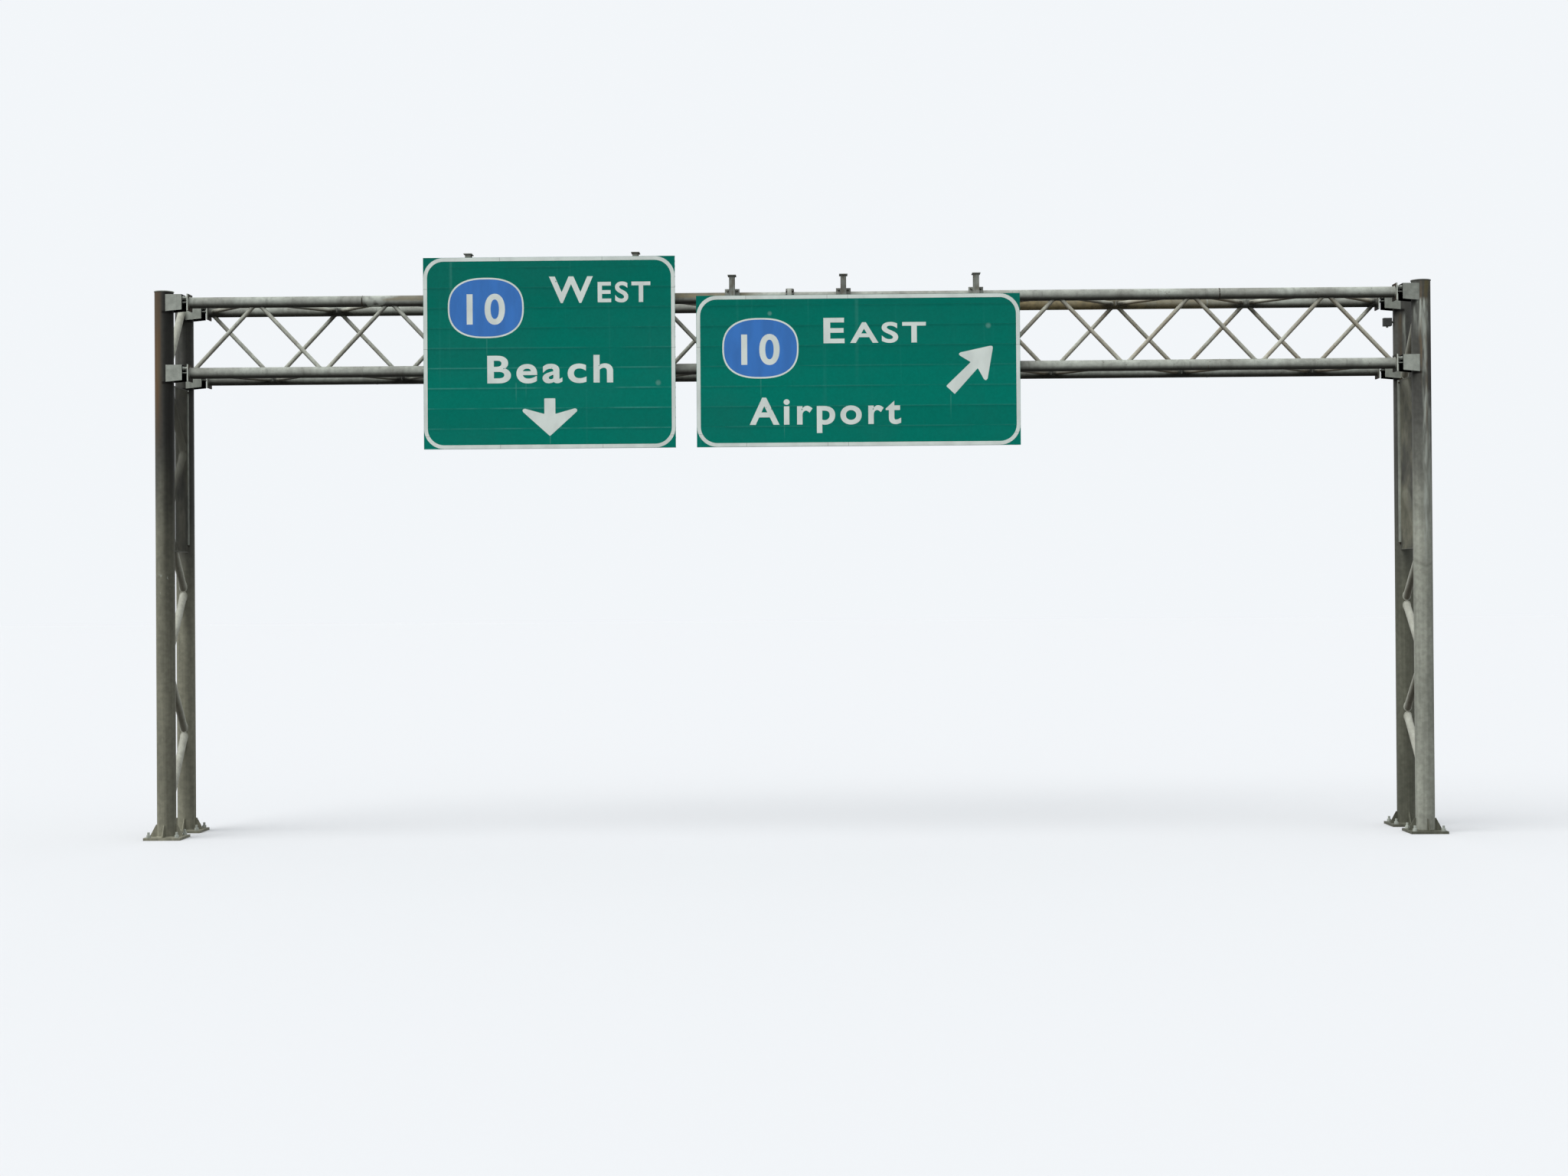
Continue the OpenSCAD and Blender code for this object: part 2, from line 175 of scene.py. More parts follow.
class GANTRY_PG_finish(bpy.types.PropertyGroup):
    zinc: colour("Zinc", "Clean galvanised tube", (0.385, 0.408, 0.36))
    zinc_dull: colour("Dull zinc", "Weathered patches on the truss", (0.25, 0.255, 0.225))
    # Dark colour for real dirt in run-offs, drips and joints, and also for painted shade on undersides,
    # end-plate faces, seat gaps and under the seats
    grime_and_shade: colour("Grime", "Dirt on undersides and in run-offs", (0.05, 0.048, 0.04))
    rust: colour("Rust", "Rust specks and stains", (0.13, 0.066, 0.03))
    stain: colour("Stain", "Brown run-off", (0.13, 0.092, 0.052))
    post: colour("Post", "Cleaner steel low on the left posts", (0.21, 0.206, 0.156))
    post_pale: colour("Pale post", "Cleaner steel low on the right front post", (0.33, 0.34, 0.285))
    post_dull: colour("Dull post", "Dirty steel high on the posts", (0.064, 0.064, 0.057))
    green: colour("Sign green", "Sheeting of the signs", (0.0, 0.208, 0.151))
    white: colour("Legend white", "Sheeting of border and legend", (0.83, 0.9, 0.84))
    blue: colour("Marker blue", "Sheeting of the route marker", (0.035, 0.19, 0.58))
    mill: colour("Mill aluminium", "Backs of the sign panels", (0.45, 0.46, 0.45))
    housing: colour("Housing", "Paint of the detector", (0.06, 0.062, 0.06))


# Shapes as blocks: an array of points and a list of arrays of faces

def sweep(rings, loop=False):
    """Skin over rings of points: point (i, j) joins (i, j + 1), (i + 1, j + 1) and (i + 1, j).

    Rings that run counter-clockwise about the path's direction give faces that point outwards. An open
    sweep is closed by its first ring, turned round, and its last.
    """
    count, around = rings.shape[:2]
    row = np.arange(count if loop else count - 1)[:, None]
    column = np.arange(around)[None, :]
    after, beside = (row + 1) % count, (column + 1) % around
    quads = np.stack([row * around + column, row * around + beside, after * around + beside,
                      after * around + column], -1).reshape(-1, 4)
    faces = [quads]
    if not loop:
        faces.append(np.arange(around)[::-1][None, :])
        faces.append(((count - 1) * around + np.arange(around))[None, :])
    return rings.reshape(-1, 3), faces


def joined(blocks):
    """One block from several: each block's faces count on from the points before it."""
    start, points, faces = 0, [], []
    for spots, groups in blocks:
        points.append(spots)
        faces.extend([group + start for group in groups])
        start += len(spots)
    return np.concatenate(points), faces


def outward(block):
    """Turns a closed block's faces round where its signed volume, the sum of p . (q x r), is negative."""
    points, faces = block
    volume = 0.0
    for group in faces:
        first = points[group[:, 0]]
        for i in range(1, group.shape[1] - 1):
            volume += np.einsum("ij,ij->", first, np.cross(points[group[:, i]], points[group[:, i + 1]]))
    if volume < 0:
        faces = [group[:, ::-1] for group in faces]
    return points, faces


def unit(vector):
    """Vector over its length."""
    vector = np.asarray(vector, float)
    return vector / np.linalg.norm(vector)


def triad(axis):
    """Rows u, v, w with w along the axis and u x v = w."""
    w = unit(axis)
    hint = np.array([0.0, 0.0, 1.0]) if abs(w[2]) < 0.9 else np.array([1.0, 0.0, 0.0])
    u = unit(np.cross(hint, w))
    return np.array([u, np.cross(w, u), w])


def copies(block, spots, axis):
    """Copies of a block drawn about +Z: point p goes to spot + x u + y v + z w for each spot."""
    points, faces = block
    spots = np.atleast_2d(np.asarray(spots, float))
    laid = spots[:, None, :] + (points @ triad(axis))[None]
    step = (np.arange(len(spots)) * len(points))[:, None, None]
    return laid.reshape(-1, 3), [(group[None] + step).reshape(-1, group.shape[1]) for group in faces]


def turned(profile, sides):
    """Profile of (radius, height) turned about Z: ring i is radius_i (cos a, sin a) at height_i."""
    angle = np.arange(sides) * 2 * math.pi / sides
    profile = np.asarray(profile, float)
    rings = np.empty((len(profile), sides, 3))
    rings[..., 0] = profile[:, :1] * np.cos(angle)
    rings[..., 1] = profile[:, :1] * np.sin(angle)
    rings[..., 2] = profile[:, 1:]
    return sweep(rings)


def extruded(outline, origin, u, v, depth):
    """Outline of (a, b) pairs at origin + a u + b v, carried along u x v by the depth."""
    outline = np.asarray(outline, float)
    u, v = np.asarray(u, float), np.asarray(v, float)
    flat = np.asarray(origin, float) + outline[:, :1] * u + outline[:, 1:] * v
    return outward(sweep(np.stack([flat, flat + np.cross(u, v) * depth])))


def slab(low, high):
    """Box between two corners, as a square outline carried up."""
    low, high = np.minimum(low, high), np.maximum(low, high)
    x, y, z = high - low
    return extruded([(0, 0), (x, 0), (x, y), (0, y)], low, (1, 0, 0), (0, 1, 0), z)


def coped(p, q, radius, host_p, host_q, host_axis, host_radius, sides, sunk=0.003):
    """Round tube from p to q, coped at both ends to round hosts.

    Line j of the tube is o + t w, with o = p + radius (cos a u + sin a v). Against a host its ends solve
    the quadratic |e + t d| = host radius, where e and d are o less the host's point, and w, each without its
    part along the host's axis. The start takes the larger root and the end the smaller. Returns the tube,
    run slightly into the hosts' walls, and the two closed seams that its welds follow.
    """
    p, q, host_p, host_q = (np.asarray(each, float) for each in (p, q, host_p, host_q))
    u, v, w = triad(q - p)
    along = unit(host_axis)
    angle = np.arange(sides)[:, None] * 2 * math.pi / sides
    ring = p + radius * (np.cos(angle) * u + np.sin(angle) * v)
    ends = []
    for host, sign in ((host_p, 1), (host_q, -1)):
        e = ring - host
        e = e - (e @ along)[:, None] * along
        d = w - (w @ along) * along
        a, b, c = d @ d, 2 * e @ d, np.einsum("ij,ij->i", e, e) - host_radius ** 2
        ends.append(((-b + sign * np.sqrt(np.maximum(b * b - 4 * a * c, 0.0))) / (2 * a))[:, None])
    seams = [ring + t * w for t in ends]
    body = sweep(np.stack([ring + (ends[0] - sunk) * w, ring + (ends[1] + sunk) * w]))
    return body, seams, w


def bead(seam, axis, radius, sides=6, ripples=0):
    """Weld bead: a small circle carried round a closed seam.

    The tangent t is the difference of the neighbours on each side. The circle at each point lies in n and
    t x n, with n the part of the seam's outward direction that is square to t. Its radius ripples as
    1 + 0.14 cos(ripples a).
    """
    tangent = np.roll(seam, -1, 0) - np.roll(seam, 1, 0)
    tangent /= np.linalg.norm(tangent, axis=1)[:, None]
    out = seam - seam.mean(0)
    out = out - (out @ axis)[:, None] * axis
    out = out - np.einsum("ij,ij->i", out, tangent)[:, None] * tangent
    out /= np.linalg.norm(out, axis=1)[:, None]
    across = np.cross(tangent, out)
    turn = np.arange(sides)[None, :, None] * 2 * math.pi / sides
    wave = np.cos(ripples * np.arange(len(seam)) * 2 * math.pi / len(seam))[:, None, None]
    size = radius * (1 + 0.14 * wave)
    rings = seam[:, None] + size * (np.cos(turn) * out[:, None] + np.sin(turn) * across[:, None])
    return outward(sweep(rings, loop=True))


def rounded(width, height, radius, points=10):
    """Outline of a rectangle about the origin with four quarter circles for corners, counter-clockwise."""
    quarter = np.arange(points + 1) * math.pi / 2 / points
    outline = []
    for turn, x, y in ((0, 1, 1), (1, -1, 1), (2, -1, -1), (3, 1, -1)):
        angle = quarter + turn * math.pi / 2
        centre = (x * (width / 2 - radius), y * (height / 2 - radius))
        outline.append(np.stack([centre[0] + radius * np.cos(angle), centre[1] + radius * np.sin(angle)], 1))
    return np.concatenate(outline)


def softened(outline, radius, points=4):
    """Outline whose convex corners are cut by short arcs: points of the quadratic curve a, b, c at each."""
    result = []
    for i, b in enumerate(outline):
        a, c = outline[i - 1], outline[(i + 1) % len(outline)]
        start = b + unit(a - b) * min(radius, np.linalg.norm(a - b) / 2)
        end = b + unit(c - b) * min(radius, np.linalg.norm(c - b) / 2)
        step = np.linspace(0, 1, points)[:, None]
        result.append((1 - step) ** 2 * start + 2 * step * (1 - step) * b + step ** 2 * end)
    return np.concatenate(result)


def raised(block, height):
    """A block moved up."""
    return block[0] + [0, 0, height], block[1]


def nut(across, height):
    """Hexagon nut or bolt head on the plane z = 0 with its corners taken off at both ends."""
    corner = across / math.sqrt(3)
    cut = 0.07 * across
    rise = cut * 0.6
    return turned([(corner - cut, 0), (corner, rise), (corner, height - rise), (corner - cut, height)], 6)


def fastener(across, height, rod, stand_out, washer=0.004):
    """Washer, hexagon nut and the rod's end with its chamfer, drawn up from z = 0."""
    parts = [turned([(across * 0.62, 0), (across * 0.62, washer)], 16), raised(nut(across, height), washer)]
    if stand_out > 0:
        top = washer + height + stand_out
        parts.append(turned([(rod / 2, washer), (rod / 2, top - rod * 0.1), (rod * 0.4, top)], 12))
    return joined(parts)


def fillet(radius, leg, belly, height, sides):
    """Weld fillet round a pipe that stands on the plane z = 0."""
    profile = [(radius - 0.002, 0), (radius + leg, 0), (radius + belly, 0.006), (radius - 0.001, height)]
    return turned(profile, sides)


def adopt(name, mesh, finish, nodes=()):
    """Links a mesh as a piece, gives it its finish, body and slot, and hides the nodes it stands for."""
    piece = bpy.data.objects.new(name, mesh)
    bpy.context.collection.objects.link(piece)
    mesh.materials.append(surface(finish))
    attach(piece, "root")
    if nodes:
        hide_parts(*nodes)
    return piece


def make(name, blocks, finish, nodes=(), bevel=0.0):
    """Puts blocks into one mesh piece, with its edges above 32 degrees kept sharp."""
    points, faces = joined(blocks)
    mesh = bpy.data.meshes.new(name)
    mesh.from_pydata(points, [], [face for group in faces for face in group.tolist()])
    mesh.polygons.foreach_set("use_smooth", np.ones(len(mesh.polygons), bool))
    mesh.set_sharp_from_angle(angle=math.radians(32))
    mesh.update()
    piece = adopt(name, mesh, finish, nodes)
    if bevel:
        cut = piece.modifiers.new("Edges", "BEVEL")
        cut.width = bevel
        cut.segments = 1
        cut.limit_method = "ANGLE"
        cut.angle_limit = math.radians(40)
    return piece


def coat(nodes, finish):
    """Gives carried-over nodes a finish by their material slots."""
    for name in nodes:
        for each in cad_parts[name].material_slots:
            each.material = surface(finish)


# Finishes

def sign_of(operation, swapped=False):
    """Method of a Field that adds one Math node."""
    def method(self, other=0.0):
        pair = (other, self) if swapped else (self, other)
        made = self.graph.node("ShaderNodeMath", enumerate(pair), operation=operation)
        return Field(self.graph, made.outputs[0])
    return method


class Field:
    """A number that varies over a surface. Sums with it add Math nodes."""

    def __init__(self, graph, socket):
        self.graph = graph
        self.socket = socket

    __add__ = sign_of("ADD")
    __sub__ = sign_of("SUBTRACT")
    __rsub__ = sign_of("SUBTRACT", swapped=True)
    __mul__ = sign_of("MULTIPLY")
    __truediv__ = sign_of("DIVIDE")
    __abs__ = sign_of("ABSOLUTE")
    floor = sign_of("FLOOR")
    fraction = sign_of("FRACT")
    root = sign_of("SQRT")
    least = sign_of("MINIMUM")
    most = sign_of("MAXIMUM")

    def ramp(self, start, end, low=0.0, high=1.0):
        """Smooth step from low at start to high at end."""
        made = self.graph.node("ShaderNodeMapRange", enumerate((self, start, end, low, high)),
                               interpolation_type="SMOOTHSTEP")
        return Field(self.graph, made.outputs[0])

    def band(self, a, b, c, d):
        """Rises from 0 at a to 1 at b and falls from 1 at c to 0 at d."""
        return self.ramp(a, b) * self.ramp(d, c)


class Graph:
    """A material in the making: its colour so far and the fields that its patterns read.

    Patterns read Object coordinates in metres: x, y and z. East, north and up are the normal's parts.
    """

    def __init__(self, name):
        self.material = bpy.data.materials.new(name)
        self.material.use_nodes = True
        self.tree = self.material.node_tree
        self.tree.nodes.clear()
        self.shader = self.node("ShaderNodeBsdfPrincipled")
        self.node("ShaderNodeOutputMaterial", {0: self.shader.outputs[0]})
        self.place = self.node("ShaderNodeTexCoord").outputs["Object"]
        self.x, self.y, self.z = self.parts(self.place)
        self.east, self.north, self.up = self.parts(self.node("ShaderNodeNewGeometry").outputs["Normal"])
        self.colour = None
        self.fine = None

    def node(self, kind, inputs=(), **settings):
        """Adds a node, sets its properties and feeds its inputs, which are given by number or name."""
        made = self.tree.nodes.new(kind)
        for key, value in settings.items():
            setattr(made, key, value)
        self.feed(made, inputs)
        return made

    def feed(self, made, inputs):
        """Links or sets a node's inputs. A colour is given as three numbers."""
        for key, value in dict(inputs).items():
            socket = made.inputs[key]
            if isinstance(value, Field):
                value = value.socket
            if isinstance(value, bpy.types.NodeSocket):
                self.tree.links.new(value, socket)
            else:
                socket.default_value = (*value, 1.0) if socket.type == "RGBA" else value

    def parts(self, vector):
        """A vector's three parts as fields."""
        return [Field(self, each) for each in self.node("ShaderNodeSeparateXYZ", {0: vector}).outputs]

    def noise(self, scale, detail=3.0, stretch=(1, 1, 1), shift=(0, 0, 0)):
        """Fractal noise from 0 to 1, with the pattern stretched by axis."""
        mapping = self.node("ShaderNodeMapping", {"Vector": self.place, "Scale": stretch, "Location": shift})
        inputs = {"Vector": mapping.outputs[0], "Scale": scale, "Detail": detail}
        return Field(self, self.node("ShaderNodeTexNoise", inputs).outputs["Fac"])

    def mix(self, factor, a, b, blend="MIX"):
        """Mix of two colours."""
        made = self.node("ShaderNodeMix", {0: factor, 6: a, 7: b}, data_type="RGBA", blend_type=blend)
        return made.outputs[2]

    def cover(self, share, colour):
        """Lays a colour over the one so far, by a share of it."""
        self.colour = self.mix(share, self.colour, colour)

    def shaded(self, colour, value):
        """Colour times a value."""
        grey = self.node("ShaderNodeCombineColor", enumerate((value, value, value)))
        return self.mix(1.0, colour, grey.outputs[0], "MULTIPLY")

    def shade(self, value):
        """Multiplies the colour so far by a value."""
        self.colour = self.shaded(self.colour, value)

    def grain(self, low, high):
        """Multiplies the colour so far by the fine pattern, from low to high."""
        self.shade(self.fine.ramp(0.3, 0.7, low, high))

    def finish(self, rough, specular, metallic=0.0, bump=(0.0008, 0.5)):
        """Sets the shader's sockets.

        The fine pattern drives the bump, given as distance and strength, and a pair of roughnesses.
        """
        if isinstance(rough, tuple):
            rough = self.fine.ramp(0.3, 0.7, *rough)
        if bump:
            inputs = {"Height": self.fine, "Distance": bump[0], "Strength": bump[1]}
            self.feed(self.shader, {"Normal": self.node("ShaderNodeBump", inputs).outputs[0]})
        self.feed(self.shader, {"Base Color": self.colour, "Roughness": rough, "Metallic": metallic,
                                "Specular IOR Level": specular})


FINISHES = {}


def makes(name, *values, **more):
    """Lists the function below it as the maker of a finish, with the values that Graph.finish takes."""
    def listed(maker):
        FINISHES[name] = (maker, values, more)
        return maker
    return listed


def surface(name):
    """The material of a finish, made on its first use."""
    material = bpy.data.materials.get("gantry " + name)
    if not material:
        maker, values, more = FINISHES[name]
        graph = Graph("gantry " + name)
        maker(graph)
        graph.finish(*values, **more)
        material = graph.material
    return material


def tone(name, factor=1.0):
    """One of the scene's finish colours, made lighter or darker."""
    return tuple(min(1.0, factor * each) for each in getattr(bpy.context.scene.gantry_finish, name))


def zinc(graph, light, dull, streaks, grime_and_shade):
    """Weathered zinc: large and small patches, spangle, run-off streaks and painted shade on the undersides.
    """
    graph.fine = graph.noise(11.0, 5.0)
    graph.colour = light
    graph.cover(graph.noise(1.3, 5.0, shift=(3.1, 0.7, 1.9)).ramp(0.36, 0.66), dull)
    spangle = graph.node("ShaderNodeTexVoronoi", {"Vector": graph.place, "Scale": 60.0}, feature="F1")
    crystal = graph.node("ShaderNodeSeparateColor", {0: spangle.outputs["Color"]})
    graph.shade(Field(graph, crystal.outputs[0]).ramp(0.0, 1.0, 0.96, 1.04))
    graph.grain(0.86, 1.1)
    graph.cover(graph.noise(1.0, 4.0, stretch=(16, 16, 0.8)).ramp(0.5, 0.78, 0.0, streaks), tone("grime_and_shade"))
    # Painted shade: faces that look down are darkened towards the dark colour
    graph.cover(graph.up.ramp(-0.85, 0.0, grime_and_shade, 0.0), tone("grime_and_shade"))


def plates(graph):
    """Painted shade, with some rust, on the faces of end plates and splice flanges, which look along X near
    END_X and near the middle.

    An end plate's rim gets a painted highlight where it looks to the front.
    """
    far = abs(graph.x)
    # Painted highlight on the rim of each end plate where it looks to the front
    rim = far.ramp(END_X - 0.02, END_X - 0.018) * graph.north.ramp(-0.5, -0.9)
    graph.cover(rim * 0.7, tone("zinc", 1.7))
    # Painted shade on the plates' faces that look along X, broken by rust
    place = far.ramp(END_X - 0.05, END_X - 0.04).most(far.ramp(0.06, 0.05))
    dark = graph.mix(graph.noise(9.0, 3.0).ramp(0.35, 0.65), tone("grime_and_shade", 0.5), tone("rust", 0.25))
    graph.cover(place * abs(graph.east).ramp(0.6, 0.9, 0.0, 0.96), dark)


def node_dirt_and_shade(graph):
    """Dirt and painted shade round the rear chords' nodes, by the distance from the nearest one.

    The rear bottom nodes lie at whole bays from midspan and the rear top ones half a bay further.
    """
    bay = bpy.context.scene.gantry_truss.bay
    halfway = (TOP + BOTTOM) / 2
    high = graph.z.ramp(halfway - 0.05, halfway + 0.05)
    along = ((abs(graph.x) / bay + 0.5 + high * 0.5).fraction() - 0.5) * bay
    above = graph.z - (high * (TOP - BOTTOM) + BOTTOM)
    behind = graph.y - REAR
    near = (along * along + above * above + behind * behind).root().ramp(0.32, 0.13, 0.0, 0.92)
    ragged = graph.noise(6.0, 4.0, shift=(5, 5, 1)).ramp(0.3, 0.6, 0.35, 1.0)
    lasting = graph.up.ramp(0.75, 0.1, 0.35, 1.0) * abs(graph.z - halfway).ramp(0.1, 0.2)
    graph.cover(near * ragged * lasting, tone("grime_and_shade", 0.55))


@makes("tube steel", (0.55, 0.72), 0.04)
def tube_finish(graph):
    """Chords and small steel of the truss."""
    zinc(graph, tone("zinc", 1.12), tone("zinc_dull", 1.15), 0.3, 0.97)
    specks = graph.noise(38.0, 2.0, shift=(7, 1, 4)).ramp(0.62, 0.7)
    patch = graph.noise(2.6, 3.0, shift=(1, 5, 2)).ramp(0.5, 0.68)
    graph.cover(specks * patch * 0.7, tone("stain", 0.7))
    node_dirt_and_shade(graph)
    plates(graph)


@makes("web steel", (0.55, 0.72), 0.04)
def web_finish(graph):
    """Web and bracing tubes, lighter than the chords and warmer towards the right."""
    zinc(graph, tone("zinc", 1.6), tone("zinc", 1.15), 0.2, 0.9)
    patches = graph.noise(2.3, 4.0).ramp(0.3, 0.65, 0.2, 0.5)
    graph.cover(graph.x.ramp(1.0, 6.0, 0.45, 1.0) * patches, tone("stain", 2.5))
    node_dirt_and_shade(graph)


@makes("bright steel", (0.45, 0.6), 0.15, 0.05, (0.0006, 0.4))
def bright_finish(graph):
    """Newer galvanised steel of caps, nuts, clips and folds."""
    zinc(graph, tone("zinc", 1.18), tone("zinc"), 0.22, 0.7)


@makes("dull steel", 0.62, 0.12)
def dull_finish(graph):
    """Dull bolts, fins and small steel."""
    zinc(graph, tone("zinc_dull"), tone("post_dull"), 0.4, 0.7)


@makes("hanger steel", 0.6, 0.08)
def hanger_finish(graph):
    """Hangers: dark grey zinc with brown spots and runs."""
    zinc(graph, tone("zinc", 0.7), tone("zinc_dull", 0.66), 0.5, 0.9)
    spots = graph.noise(12.0, 4.0, stretch=(1.6, 1.0, 0.7), shift=(2, 4, 4)).ramp(0.46, 0.62, 0.0, 0.4)
    graph.cover(spots, tone("stain", 0.8))


@makes("clamp steel", 0.6, 0.1)
def clamp_finish(graph):
    """Clamp angles and U-bolts: grey zinc with darker runs."""
    zinc(graph, tone("zinc", 0.98), tone("zinc_dull", 0.92), 0.45, 0.9)


@makes("lacing steel", (0.55, 0.72), 0.08)
def lacing_finish(graph):
    """Lacing pipes: pale, warm zinc with painted shade on the undersides."""
    zinc(graph, tone("zinc", 1.3), tone("zinc", 1.05), 0.25, 0.8)
    graph.cover(0.16, tone("stain", 3.0))


@makes("stained steel", (0.55, 0.72), 0.04)
def stained_finish(graph):
    """A chord with a brown stain over part of its length and a pale scour beside the left butt weld.

    The stain is a band of X with a ragged edge, on the left half of the front chord and the right half of
    the rear one.
    """
    zinc(graph, tone("zinc", 1.12), tone("zinc_dull", 1.15), 0.3, 0.97)
    ragged = graph.noise(1.5, 5.0, stretch=(1, 3, 3), shift=(6, 3, 2))
    x = graph.x + ragged * 0.9
    front = graph.y.ramp(DEEP, DEEP - 0.1)
    rear = graph.y.ramp(DEEP, DEEP + 0.1)
    left = x.band(-5.72, -5.5, -0.3, 0.3) * front * x.ramp(-4.6, -5.6, 0.8, 0.65)
    right = x.band(1.5, 2.0, 7.1, 7.6) * rear * x.ramp(7.6, 4.6, 0.45, 0.95)
    share = left.most(right) * ragged.ramp(0.25, 0.55, 0.65, 1.0) * rear.most(graph.up.ramp(-0.35, 0.25))
    brown = graph.mix(graph.fine.ramp(0.35, 0.65), (0.25, 0.2, 0.105), (0.165, 0.135, 0.075))
    graph.cover(share, graph.shaded(brown, graph.up.ramp(0.2, 0.95, 1.0, 0.5)))
    flake = graph.noise(4.0, 5.0, shift=(3, 8, 1)).ramp(0.5, 0.56)
    graph.cover(graph.x.band(-6.49, -6.43, -6.25, -6.05) * flake * front * 0.7, tone("zinc", 1.3))
    node_dirt_and_shade(graph)
    plates(graph)


@makes("dark steel", 0.75, 0.06, bump=None)
def dark_finish(graph):
    """Dark, rusty nuts and weld rings, with bare patches on the butt welds."""
    graph.colour = tone("grime_and_shade", 0.8)
    graph.cover(graph.noise(30.0, 4.0).ramp(0.35, 0.65, 0.0, 0.6), tone("rust", 0.5))
    bare = graph.noise(13.0, 2.0, shift=(2, 6, 4)).ramp(0.5, 0.56, 0.0, 0.8)
    graph.cover(bare * abs(graph.x).band(6.2, 6.3, 6.9, 7.0), tone("zinc", 0.7))


@makes("seat steel", (0.55, 0.7), 0.015, bump=(0.0006, 0.4))
def seat_finish(graph):
    """Seat boxes: pale faces, and near-black painted shade in the gap towards the end plates and inside the
    open undersides.

    The painted shade follows the distance along X from the end plates, the faces that look along X or down,
    and the side plates' inner faces, which stand SEAT_INNER from the chords' axes. The right tower's upper
    seats are darker.
    """
    zinc(graph, tone("zinc", 1.12), tone("zinc", 0.92), 0.2, 0.8)
    # Painted shade: faces that look along X in the gap, faces that look down, and the side plates' inner
    # faces turn near-black
    gap = abs(graph.x).ramp(POST_X - POST_R + 0.02, END_X + 0.11)
    shaded_faces = (abs(graph.east).ramp(0.5, 0.9) * gap).most(graph.up.ramp(-0.5, -0.9))
    away = abs(abs(abs(graph.y - DEEP) - (REAR - FRONT) / 2) - SEAT_INNER)
    inner = away.ramp(0.006, 0.003) * abs(graph.north).ramp(0.5, 0.9)
    graph.cover(shaded_faces.most(inner), tone("grime_and_shade", 0.05))
    graph.shade(1.0 - graph.x.ramp(0.0, 1.0) * graph.z.ramp(BOTTOM + 0.4, TOP - 0.4) * 0.3)


@makes("screen steel", 0.7, 0.08, bump=None)
def screen_finish(graph):
    """Expanded metal, darker on the left tower, with a painted band of light half-way up on the right one.
    """
    zinc(graph, tone("post"), tone("post_dull"), 0.4, 0.5)
    # Painted light: on the right tower the colour is raised most between about 5.4 and 5.8 m
    right = graph.x.ramp(-1.0, 1.0)
    graph.shade((1.0 - right) * 0.52 + right * (graph.z.band(4.9, 5.4, 5.8, 6.3) * 0.8 + 1.5))


def post_base(graph, clean, dull, low, high, east):
    """Post steel: clean at a low height and dull at a high one, with upright streaks and painted shade on
    one side and underneath.

    The height, moved up and down by a slow noise, sets the mix of the two colours. Where the surface looks
    along +X, painted shade leaves only the share east of its colour, and only half that darkening near the
    ground.
    """
    graph.fine = graph.noise(14.0, 5.0)
    graph.colour = clean
    wander = graph.noise(1.6, 3.0, stretch=(2.5, 2.5, 0.7)) - 0.5
    graph.cover((graph.z + wander * (0.5 * (high - low))).ramp(low, high), dull)
    graph.shade(graph.noise(1.0, 4.0, stretch=(17, 17, 0.4)).ramp(0.3, 0.7, 1.14, 0.87))
    graph.shade(graph.noise(1.1, 5.0, stretch=(2.2, 2.2, 0.9), shift=(5, 2, 8)).ramp(0.3, 0.7, 0.86, 1.12))
    graph.grain(0.88, 1.12)
    # Painted shade on the side that looks along +X, stronger higher up
    side = graph.east.ramp(-0.25, 0.5) * graph.z.ramp(2.0, 5.2, 0.5, 1.0)
    graph.shade(1.0 - side * (1.0 - east))
    # Painted shade on faces that look down
    graph.cover(graph.up.ramp(-0.8, 0.1, 0.6, 0.0), tone("grime_and_shade"))
    shade_and_dirt_under_seats(graph)


def shade_and_dirt_under_seats(graph):
    """Ragged dirt and painted shade on a post's front just below each seat, which fades downwards.

    A painted shadow line runs along the top edge of each band.
    """
    far = abs(graph.x)
    ragged = graph.noise(7.0, 4.0, stretch=(1, 1, 0.6), shift=(2, 2, 6)).ramp(0.3, 0.62, 0.25, 0.95)
    ragged = ragged * graph.north.ramp(-0.1, -0.4) * far.ramp(POST_X + 0.02, POST_X - 0.05)
    # Painted shadow line just under each seat
    edge = far.ramp(POST_X + 0.02, POST_X - 0.02) * graph.north.ramp(-0.1, -0.3, 0.0, 0.9)
    for foot in (TOP - SEAT_DROP, BOTTOM - SEAT_DROP):
        graph.cover(graph.z.band(foot - 0.17, foot - 0.01, foot, foot + 0.02) * ragged, tone("grime_and_shade", 0.4))
        graph.cover(graph.z.band(foot - 0.04, foot - 0.02, foot, foot + 0.02) * edge, tone("grime_and_shade", 0.1))


def run_offs(graph, *rows):
    """Run-offs down a right post's front, each a soft band of X between a foot and a top height.

    A row holds the band's place from the post's axis, its half width, top and foot, and its shade and share.
    The band sways with height and a noise breaks it up.
    """
    for offset, half, top, foot, shade, share in rows:
        place = POST_X + offset
        sway = graph.noise(0.9, 4.0, stretch=(0.01, 0.01, 1.3), shift=(place, 0, top)) - 0.5
        band = abs(graph.x + sway * 0.05 - place).ramp(0.0, half, share, 0.0) * graph.north.ramp(-0.2, -0.5)
        broken = graph.noise(4.0, 6.0, stretch=(6, 6, 0.7), shift=(top, 1, place))
        reach = graph.z.band(foot, foot + 0.6, top - 0.1, top)
        graph.cover(band * reach * broken.ramp(0.36, 0.62, 0.15, 1.0), shade)


@makes("post steel", (0.55, 0.7), 0.1)
def left_post_finish(graph):
    """The left tower's rear post, bases and welds."""
    post_base(graph, tone("post", 1.24), tone("post_dull", 1.2), 3.0, 5.2, 0.6)


